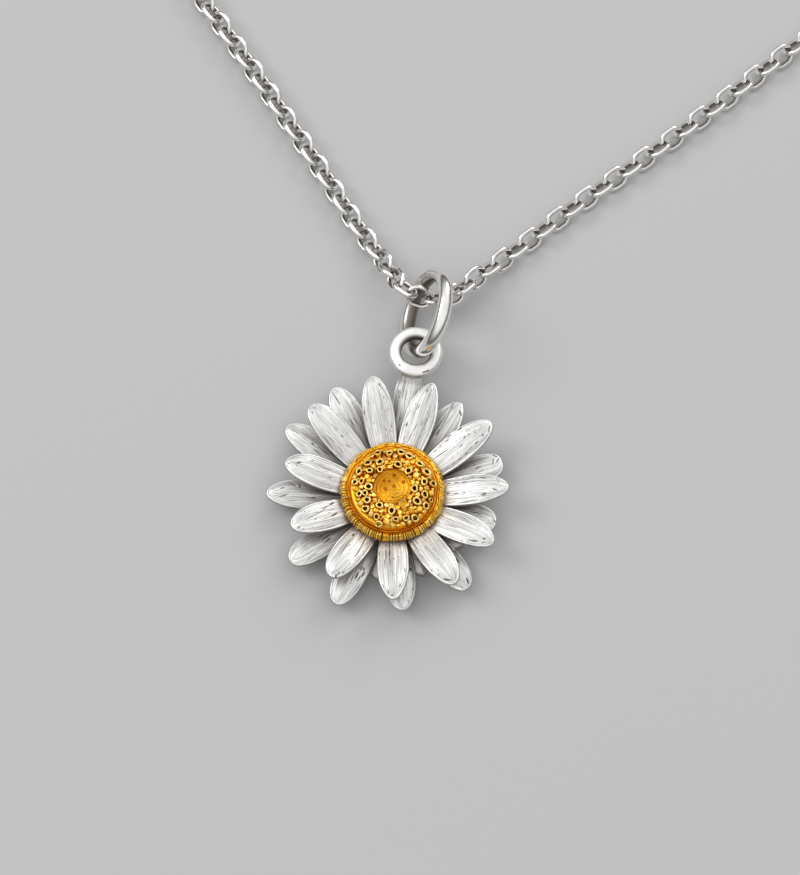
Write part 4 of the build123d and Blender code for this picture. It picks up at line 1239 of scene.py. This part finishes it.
def dome_relief(turn, radius, height, deep, edge, hole):
    """Covers the bed with grains, and gives the cup its pits and its faint swirl.

    Crevices between the grains are deep and painted dark as shade. One stretch of the shoulder is left
    plain.
    """
    x = radius * np.sin(turn)
    y = radius * np.cos(turn)
    cup = (radius < CUP_RADIUS + 0.001) & (height > GOLD_BASE + 0.4)
    bed = (radius > CUP_RADIUS - 0.05) & (height > GOLD_BASE + 0.55)
    inwards = 1 - radius / CUP_RADIUS
    for direction, place, size in CUP_PITS:
        centre = outward(direction) * place
        pit = cup * np.exp(-(np.hypot(x - centre[0], y - centre[1]) / size) ** 4)
        height = height - PIT_DEPTH * pit
        # Painted shade in the pits
        hole = np.maximum(hole, 0.50 * pit)
    # Painted light: the cup's painted shade lessens towards its lower right, so it looks lit there and
    # shaded at its upper left
    deep = deep - 0.40 * cup * ease(-0.5, 0.9, (x - y) / CUP_RADIUS)
    ripple = np.sin(14 * x + 3 * np.sin(5 * y)) * np.sin(15 * y + 2 * np.sin(6 * x))
    swirl = np.sin(26 * radius + 2 * turn + 0.8 * np.sin(3 * turn))
    height = height + 0.005 * cup * ease(0.15, 0.5, inwards) * ripple
    height = height + 0.011 * cup * ease(0.1, 0.4, 1 - inwards) * swirl
    # Painted highlight on the crests of the cup's swirl
    edge = np.maximum(edge, 0.35 * cup * ease(0.6, 1.0, swirl) * ease(0.1, 0.4, inwards))

    raised = bed * grain_heights(x, y)
    shoulder = ease(DOME_RADIUS - BARE_WIDTH, DOME_RADIUS - 0.20, radius)
    plain = bed * shoulder * ease(0.2, 0.9, np.cos(turn - radians(BARE_DIRECTION)))
    # Crevices between the grains get painted shade, less on the plain shoulder
    deep = np.where(bed, (1 - ease(0.02, 0.10, raised)) * (1 - 0.6 * plain), deep)
    # Painted highlight on the grains' tops
    edge = np.where(bed, 0.9 * ease(0.12, 0.22, raised), edge)
    for direction, share, tube in FLORETS:
        centre = floret_place(direction, share)
        away = np.hypot(x - centre[0], y - centre[1])
        raised = raised - 0.04 * bed * (1 - ease(tube * 1.05, tube * 1.30, away))
    # Painted shade deepest in the crevices between grains
    hole = np.where(bed, 0.60 * (1 - ease(-0.02, 0.09, raised)) * (1 - plain), hole)
    return radius, height + raised, deep, edge, hole


def dome_shape():
    """Dome with a round shoulder, an upright wall and the cup: its profile turned, with its relief."""
    return turned_shape(dome_profile(), DOME_STEPS, dome_relief)


def floret_shape(number, direction, share, tube):
    """One open tube: a wall, a round rim, a hole with a floor, on a slightly uneven circle."""
    lean = radians(share * FLORET_LEAN)
    rise = FLORET_RISE - FLORET_FALL * share
    tube = tube * FLORET_WIDENING
    hole = tube * FLORET_HOLE
    middle = (tube + hole) / 2
    foot = rise - FLORET_RIM
    profile = [(0.0, -0.3, 0, 0, 0), (tube, -0.3, 0.8, 0, 0), (tube, foot - 0.06, 0.6, 0.1, 0)]
    # The rim's painted highlight is strongest on its top
    for step in np.linspace(0, pi, 7):
        reach = middle + (tube - middle) * np.sign(cos(step)) * abs(cos(step)) ** 0.7
        profile.append((reach, foot + FLORET_RIM * sin(step), 0, 0.35 + 0.65 * sin(step), 0))
    profile += [(hole, foot - 0.02, 0.6, 0, 0.6), (hole * 0.95, rise - 0.32, 1, 0, 1)]
    profile += [(0.0, rise - 0.34, 1, 0, 0.85)]
    # Profile columns: across, height, painted shade where it lies deep, painted highlight, painted shade
    # in the hole
    across, height, deep, edge, dark = np.array(profile).T
    rng = np.random.default_rng(500 + number)
    edge = edge * rng.uniform(0.70, 1.0)
    turn = np.arange(FLORET_SIDES) * 2 * pi / FLORET_SIDES
    oval = 0.10 * np.cos(2 * turn + rng.uniform(0, 6))
    three_sided = 0.05 * np.cos(3 * turn + rng.uniform(0, 6))
    across = across * (1 + oval + three_sided)[:, None]
    out = outward(direction)
    normal = out * sin(lean) + np.array((0, 0, cos(lean)))
    first = np.cross(normal, (out[1], -out[0], 0.0))
    second = np.cross(normal, first)
    centre = floret_place(direction, share)
    centre[2] = GOLD_BASE + dome_height(np.hypot(centre[0], centre[1]))
    points = centre + height[:, None] * normal
    points = points + (across * np.cos(turn)[:, None])[..., None] * first
    points = points + (across * np.sin(turn)[:, None])[..., None] * second
    marks = marks_of(across.shape, (deep, edge, dark))
    return points.reshape(-1, 3), grid_faces(*across.shape, round_rows=True), marks


def link_template(sides, wire_sides):
    """One oval link about the origin, long in X: a circle carried along two bends and two bars."""
    bend = (LINK_WIDTH - LINK_WIRE) / 2
    straight = LINK_LENGTH - LINK_WIDTH
    half = sides // 2
    turn = np.linspace(-pi / 2, pi / 2, half)
    turn = np.concatenate((turn, turn + pi))
    shift = np.concatenate((np.full(half, straight / 2), np.full(half, -straight / 2)))
    section = np.arange(wire_sides) * 2 * pi / wire_sides
    reach = bend + LINK_WIRE / 2 * np.cos(section)
    x = shift[:, None] + reach * np.cos(turn)[:, None]
    y = reach * np.sin(turn)[:, None]
    z = np.broadcast_to(LINK_WIRE / 2 * np.sin(section), x.shape)
    # The first mark rises to 1 on the link's inner side, where shade is painted
    marks = marks_of(x.shape, (0.5 - 0.5 * np.cos(section), 0, 0))
    return np.stack((x, y, z), -1).reshape(-1, 3), grid_faces(*x.shape, True, True), marks


def chain_shape(centres, axes, sides, wire_sides):
    """The same link set at each centre, turned by each set of axes."""
    points, faces, marks = link_template(sides, wire_sides)
    count = len(centres)
    placed = centres[:, None, :] + np.einsum("pk,nkj->npj", points, axes)
    faces = (faces[None] + (np.arange(count) * len(points))[:, None, None]).reshape(-1, 4)
    return placed.reshape(-1, 3), faces, np.tile(marks, (count, 1, 1))


def frame_links(node):
    """Centres and axes of the links in a chain's node, and nothing of its plain tube.

    Equal corners get one number, each triangle's corners then take the lowest number among
    them until nothing changes, so that each solid ends with a number of its own. A link's axes
    are those along which its points spread most, less and least.
    """
    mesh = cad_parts[node].data
    points = np.empty(len(mesh.vertices) * 3, np.float32)
    mesh.vertices.foreach_get("co", points)
    points = points.reshape(-1, 3).astype(float) / MM
    corners = np.empty(len(mesh.loops), np.int32)
    mesh.loops.foreach_get("vertex_index", corners)
    first, number = equal_points(points, 4)
    points = points[first]
    triangles = number[corners].reshape(-1, 3)
    label = np.arange(len(points))
    changed = True
    while changed:
        lowest = label[triangles].min(1)
        after = label.copy()
        for column in range(3):
            np.minimum.at(after, triangles[:, column], lowest)
        after = after[after]
        changed = bool((after != label).any())
        label = after
    solids, label = np.unique(label, return_inverse=True)
    label = label.reshape(-1)
    count = np.bincount(label)
    centre = np.stack([np.bincount(label, points[:, axis]) / count for axis in range(3)], 1)
    offset = points - centre[label]
    spread = np.empty((len(solids), 3, 3))
    for row in range(3):
        for column in range(3):
            spread[:, row, column] = np.bincount(label, offset[:, row] * offset[:, column]) / count
    size, vectors = np.linalg.eigh(spread)
    axes = np.transpose(vectors[:, :, ::-1], (0, 2, 1))
    links = np.sqrt(size[:, 2]) < LINK_LENGTH
    return centre[links], axes[links]


def route_line():
    """The chain's smooth line through its route: points read from a NURBS curve with no bevel."""
    curve = bpy.data.curves.new("chain route", "CURVE")
    curve.dimensions = "3D"
    spline = curve.splines.new("NURBS")
    spline.points.add(len(CHAIN_ROUTE) - 1)
    for point, place in zip(spline.points, CHAIN_ROUTE):
        point.co = (*place, 1)
    spline.order_u = 3
    spline.use_endpoint_u = True
    spline.resolution_u = ROUTE_STEPS
    holder = bpy.data.objects.new("chain route", curve)
    mesh = bpy.data.meshes.new_from_object(holder)
    points = np.empty(len(mesh.vertices) * 3, np.float32)
    mesh.vertices.foreach_get("co", points)
    bpy.data.objects.remove(holder)
    bpy.data.curves.remove(curve)
    bpy.data.meshes.remove(mesh)
    return points.reshape(-1, 3).astype(float)


def link_hand(axes, travel):
    """Which way a link is rolled about its own direction, as seen along the travel: 1 or -1."""
    along = axes[0] * np.sign(axes[0] @ travel)
    side = np.cross((0.0, 0.0, 1.0), along)
    above = np.cross(along, side)
    return np.sign((axes[1] @ side) * (axes[1] @ above))


def stretch_links(line, start, end, start_axes, end_axes):
    """Links along the line between the two links that bound a plain stretch.

    The line is shifted at each end so that it meets the frame's own link there, and the shift
    fades out towards the middle of the stretch. Links are rolled one way and the other in turn,
    and their number is such that the first and the last alternate with the frame's own links.
    """
    distance = np.concatenate(([0], np.cumsum(np.linalg.norm(np.diff(line, axis=0), axis=1))))
    near = [int(np.argmin(np.linalg.norm(line - point, axis=1))) for point in (start, end)]
    from_place, to_place = distance[near[0]], distance[near[1]]
    room = abs(to_place - from_place)
    travel = np.sign(to_place - from_place)
    hands = [
        link_hand(link_axes, travel * (line[min(place + 1, len(line) - 1)] - line[max(place - 1, 0)]))
        for link_axes, place in zip((start_axes, end_axes), near)
    ]
    pairs = room / PITCH / 2
    count = 2 * int(round(pairs)) - 1 if hands[0] == hands[1] else 2 * int(round(pairs - 0.5))
    share = np.arange(1, count + 1) / (count + 1)
    places = from_place + (to_place - from_place) * share
    centres = np.stack([np.interp(places, distance, line[:, axis]) for axis in range(3)], 1)
    centres += (1 - ease(0, 0.5, share))[:, None] * (start - line[near[0]])
    centres += ease(0.5, 1, share)[:, None] * (end - line[near[1]])
    whole = np.concatenate(([start], centres, [end]))
    along = whole[2:] - whole[:-2]
    along = along / np.linalg.norm(along, axis=1)[:, None]
    side = np.cross((0.0, 0.0, 1.0), along)
    side = side / np.linalg.norm(side, axis=1)[:, None]
    above = np.cross(along, side)
    roll = np.radians(LINK_ROLL * hands[0] * np.where(np.arange(count) % 2, 1, -1))[:, None]
    flat = side * np.cos(roll) + above * np.sin(roll)
    return centres, np.stack((along, flat, np.cross(along, flat)), 1)


def place_camera(scene, target):
    """The portrait's camera, which faces the target from its azimuth, elevation and distance."""
    azimuth = radians(CAMERA_AZIMUTH)
    elevation = radians(CAMERA_ELEVATION)
    back = Vector((sin(azimuth) * cos(elevation), -cos(azimuth) * cos(elevation), sin(elevation)))
    right = Vector((cos(azimuth), sin(azimuth), 0))
    lens = bpy.data.cameras.new("portrait camera")
    lens.sensor_fit = "HORIZONTAL"
    lens.sensor_width = CAMERA_SENSOR
    lens.lens = CAMERA_LENS
    lens.clip_start = 0.005
    lens.clip_end = 10
    camera = bpy.data.objects.new("portrait camera", lens)
    camera.location = target + back * CAMERA_DISTANCE * MM
    camera.rotation_euler = Matrix((right, back.cross(right), back)).transposed().to_euler()
    scene.collection.objects.link(camera)
    scene.camera = camera


def lay_floor(scene, colour):
    """A plain square that the necklace lies on."""
    finish = Finish("pale floor")
    finish.set(Base_Color=tuple(colour), Roughness=0.8)
    mesh = bpy.data.meshes.new("floor")
    signs = ((-1, -1), (1, -1), (1, 1), (-1, 1))
    mesh.from_pydata([(x * FLOOR_HALF, y * FLOOR_HALF, 0) for x, y in signs], [], [(0, 1, 2, 3)])
    mesh.materials.append(finish.material)
    floor = bpy.data.objects.new("floor", mesh)
    scene.collection.objects.link(floor)


def hang_light(scene, name, power, place, target):
    """A soft square lamp that faces the target."""
    light = bpy.data.lights.new(name, "AREA")
    light.energy = power
    light.size = LIGHT_SIZE
    lamp = bpy.data.objects.new(name, light)
    lamp.location = place
    lamp.rotation_euler = (target - Vector(place)).to_track_quat("-Z", "Y").to_euler()
    scene.collection.objects.link(lamp)


def light_sky(scene, stage):
    """White light all round that brightens upwards, and an even backdrop where the camera sees it."""
    world = bpy.data.worlds.new("studio")
    world.use_nodes = True
    nodes = Nodes(world.node_tree)
    rise = nodes.parts(nodes.node("TexCoord"))[2]
    strength = rise.between(SKY_FROM, SKY_TO, stage.horizon, stage.sky)
    seen = nodes.node("LightPath")
    strength = nodes.node("Mix", None, {"Factor": seen, "A": strength, "B": stage.backdrop})
    background = nodes.tree.nodes["Background"]
    nodes.feed(background.inputs["Color"], (1, 1, 1))
    nodes.feed(background.inputs["Strength"], strength)
    scene.world = world


class NECKLACE_OT_petals(bpy.types.Operator):
    """Make both rings of petals"""

    bl_idname = "necklace.petals"
    bl_label = "Petals"

    def execute(self, context):
        petals = context.scene.necklace_petals
        finishes = context.scene.necklace_finishes
        front = []
        for number, (direction, share, lift, roundness) in enumerate(FRONT_PETALS):
            length = share * FRONT_REACH - FRONT_ROOT
            front.append(petal_shape(
                number, direction, FRONT_ROOT, length, FRONT_BASE, FRONT_RISE,
                lift * PETAL_THICKNESS, roundness, petals))
        finish = petal_finish(finishes, "brushed silver, front petals", 0.6, 1.7, 0.35)
        make_piece("petals_front", join(front), finish, "oxidised_silver", "flower")

        loop_lift = LOOP_HEIGHT - BACK_BASE - BACK_RISE - LOOP_WIRE / 4
        rows = [(*row[:2], row[2] * PETAL_THICKNESS, row[3], 0) for row in BACK_PETALS]
        rows.append((LOOP_DIRECTION, LOOP_PETAL_SHARE, loop_lift, LOOP_PETAL_ROUNDNESS, LOOP_GUSSET))
        back = []
        for number, (direction, share, lift, roundness, gusset) in enumerate(rows, len(FRONT_PETALS)):
            length = share * BACK_REACH - BACK_ROOT
            back.append(petal_shape(
                number, direction, BACK_ROOT, length, BACK_BASE, BACK_RISE,
                lift, roundness, petals, gusset))
        finish = petal_finish(finishes, "brushed silver, back petals", 1.4, 4.2, 0.85)
        make_piece("petals_back", join(back), finish, "oxidised_silver", "flower")
        return {"FINISHED"}


class NECKLACE_OT_calyx(bpy.types.Operator):
    """Make the calyx with its hub, and the hanging loop"""

    bl_idname = "necklace.calyx"
    bl_label = "Calyx and loop"

    def execute(self, context):
        satin = context.scene.necklace_finishes.satin_silver
        make_piece("calyx", calyx_shape(), cast_finish(), "oxidised_silver", "flower")
        finish = polished_finish(satin, "satin silver", SATIN_ROUGHNESS)
        make_piece("hanging_loop", loop_shape(), finish, "oxidised_silver", "flower")
        return {"FINISHED"}


class NECKLACE_OT_gold_centre(bpy.types.Operator):
    """Make the gilded centre: its collar, its dome with the cup, and the florets"""

    bl_idname = "necklace.gold_centre"
    bl_label = "Gold centre"

    def execute(self, context):
        finish = gold_finish(context.scene.necklace_finishes)
        make_piece("gold_collar", collar_shape(), finish, "gilding", "flower_centre")
        make_piece("gold_dome", dome_shape(), finish, "gilding", "flower_centre")
        tubes = [floret_shape(number, *row) for number, row in enumerate(FLORETS)]
        make_piece("gold_florets", join(tubes), finish, "gilding", "flower_centre")
        return {"FINISHED"}


class NECKLACE_OT_rings(bpy.types.Operator):
    """Make the bail ring, the clasp and the end ring"""

    bl_idname = "necklace.rings"
    bl_label = "Rings and clasp"

    def execute(self, context):
        finishes = context.scene.necklace_finishes
        finish = polished_finish(finishes.wire_silver, "polished silver", finishes.polished)
        lean = radians(RING_LEAN)
        normal = outward(90 - RING_TURN) * cos(lean) - np.array((0, 0, sin(lean)))
        shape = ring_shape(RING_RADIUS, RING_WIRE, RING_CENTRE, normal, 160, 40)
        make_piece("jump_ring", shape, finish, "polished_silver", "bail_ring")
        normal = (0, -sin(radians(CLASP_ROLL)), cos(radians(CLASP_ROLL)))
        ring = ring_shape(CLASP_RADIUS, CLASP_WIRE, (CLASP_SIDEWAYS, FAR_PLACE, CLASP_HEIGHT), normal)
        eye = ring_shape(EYE_RADIUS, EYE_WIRE, (EYE_SIDEWAYS, FAR_PLACE, CLASP_HEIGHT), normal, 72, 24)
        make_piece("bolt_ring", join([ring, eye]), finish, "polished_silver", "clasp")
        normal = (0, sin(radians(END_RING_ROLL)), cos(radians(END_RING_ROLL)))
        centre = (END_RING_SIDEWAYS, FAR_PLACE, END_RING_HEIGHT)
        shape = ring_shape(END_RING_RADIUS, END_RING_WIRE, centre, normal, 96, 24)
        make_piece("closing_ring", shape, finish, "polished_silver", "end_ring")
        return {"FINISHED"}


class NECKLACE_OT_chain(bpy.types.Operator):
    """Make the chain: fine links near the pendant, plainer ones round the rest of the loop"""

    bl_idname = "necklace.chain"
    bl_label = "Chain"

    def execute(self, context):
        chain = context.scene.necklace_chain
        finishes = context.scene.necklace_finishes
        finish = polished_finish(finishes.wire_silver, "silver wire", finishes.polished)
        line = route_line()
        for node in ("chain_left", "chain_right"):
            centres, axes = frame_links(node)
            order = np.argsort(np.linalg.norm(centres - np.array(RING_CENTRE), axis=1))
            centres, axes = centres[order], axes[order]
            gap = int(np.argmax(np.linalg.norm(np.diff(centres, axis=0), axis=1)))
            added, added_axes = stretch_links(
                line, centres[gap], centres[gap + 1], axes[gap], axes[gap + 1])
            near = chain_shape(
                centres[:NEAR_LINKS], axes[:NEAR_LINKS], chain.near_sides, chain.near_wire)
            make_piece(node + "_near", near, finish, "chain_silver", node)
            far = chain_shape(
                np.concatenate((centres[NEAR_LINKS:], added)),
                np.concatenate((axes[NEAR_LINKS:], added_axes)), chain.far_sides, chain.far_wire)
            make_piece(node + "_far", far, finish, "chain_silver", node)
        return {"FINISHED"}


class NECKLACE_OT_stage(bpy.types.Operator):
    """Set the camera, the floor and the lights"""

    bl_idname = "necklace.stage"
    bl_label = "Stage"

    def execute(self, context):
        scene = context.scene
        stage = scene.necklace_stage
        target = Vector(CAMERA_TARGET) * MM
        place_camera(scene, target)
        lay_floor(scene, stage.floor)
        hang_light(scene, "key light", stage.key, KEY_PLACE, target)
        hang_light(scene, "fill light", stage.fill, FILL_PLACE, target)
        light_sky(scene, stage)
        scene.view_settings.view_transform = "Standard"
        return {"FINISHED"}


class NECKLACE_PT_panel(bpy.types.Panel):
    """Buttons for each piece of the necklace"""

    bl_idname = "NECKLACE_PT_panel"
    bl_label = "Daisy Pendant Necklace"
    bl_space_type = "VIEW_3D"
    bl_region_type = "UI"
    bl_category = "Necklace"

    def draw(self, context):
        for operator in OPERATORS:
            self.layout.operator(operator.bl_idname)


OPERATORS = (
    NECKLACE_OT_petals,
    NECKLACE_OT_calyx,
    NECKLACE_OT_gold_centre,
    NECKLACE_OT_rings,
    NECKLACE_OT_chain,
    NECKLACE_OT_stage,
)
SETTINGS = {
    "necklace_petals": PetalSettings,
    "necklace_finishes": FinishSettings,
    "necklace_chain": ChainSettings,
    "necklace_stage": StageSettings,
}


def register():
    for group in (*SETTINGS.values(), *OPERATORS, NECKLACE_PT_panel):
        bpy.utils.register_class(group)
    for name, group in SETTINGS.items():
        setattr(bpy.types.Scene, name, PointerProperty(type=group))


def unregister():
    for name in SETTINGS:
        delattr(bpy.types.Scene, name)
    for group in reversed((*SETTINGS.values(), *OPERATORS, NECKLACE_PT_panel)):
        bpy.utils.unregister_class(group)


def main():
    """Registers the add-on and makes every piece."""
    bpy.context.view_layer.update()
    register()
    bpy.ops.necklace.petals()
    bpy.ops.necklace.calyx()
    bpy.ops.necklace.gold_centre()
    bpy.ops.necklace.rings()
    bpy.ops.necklace.chain()
    bpy.ops.necklace.stage()


if __name__ == "__main__":
    main()
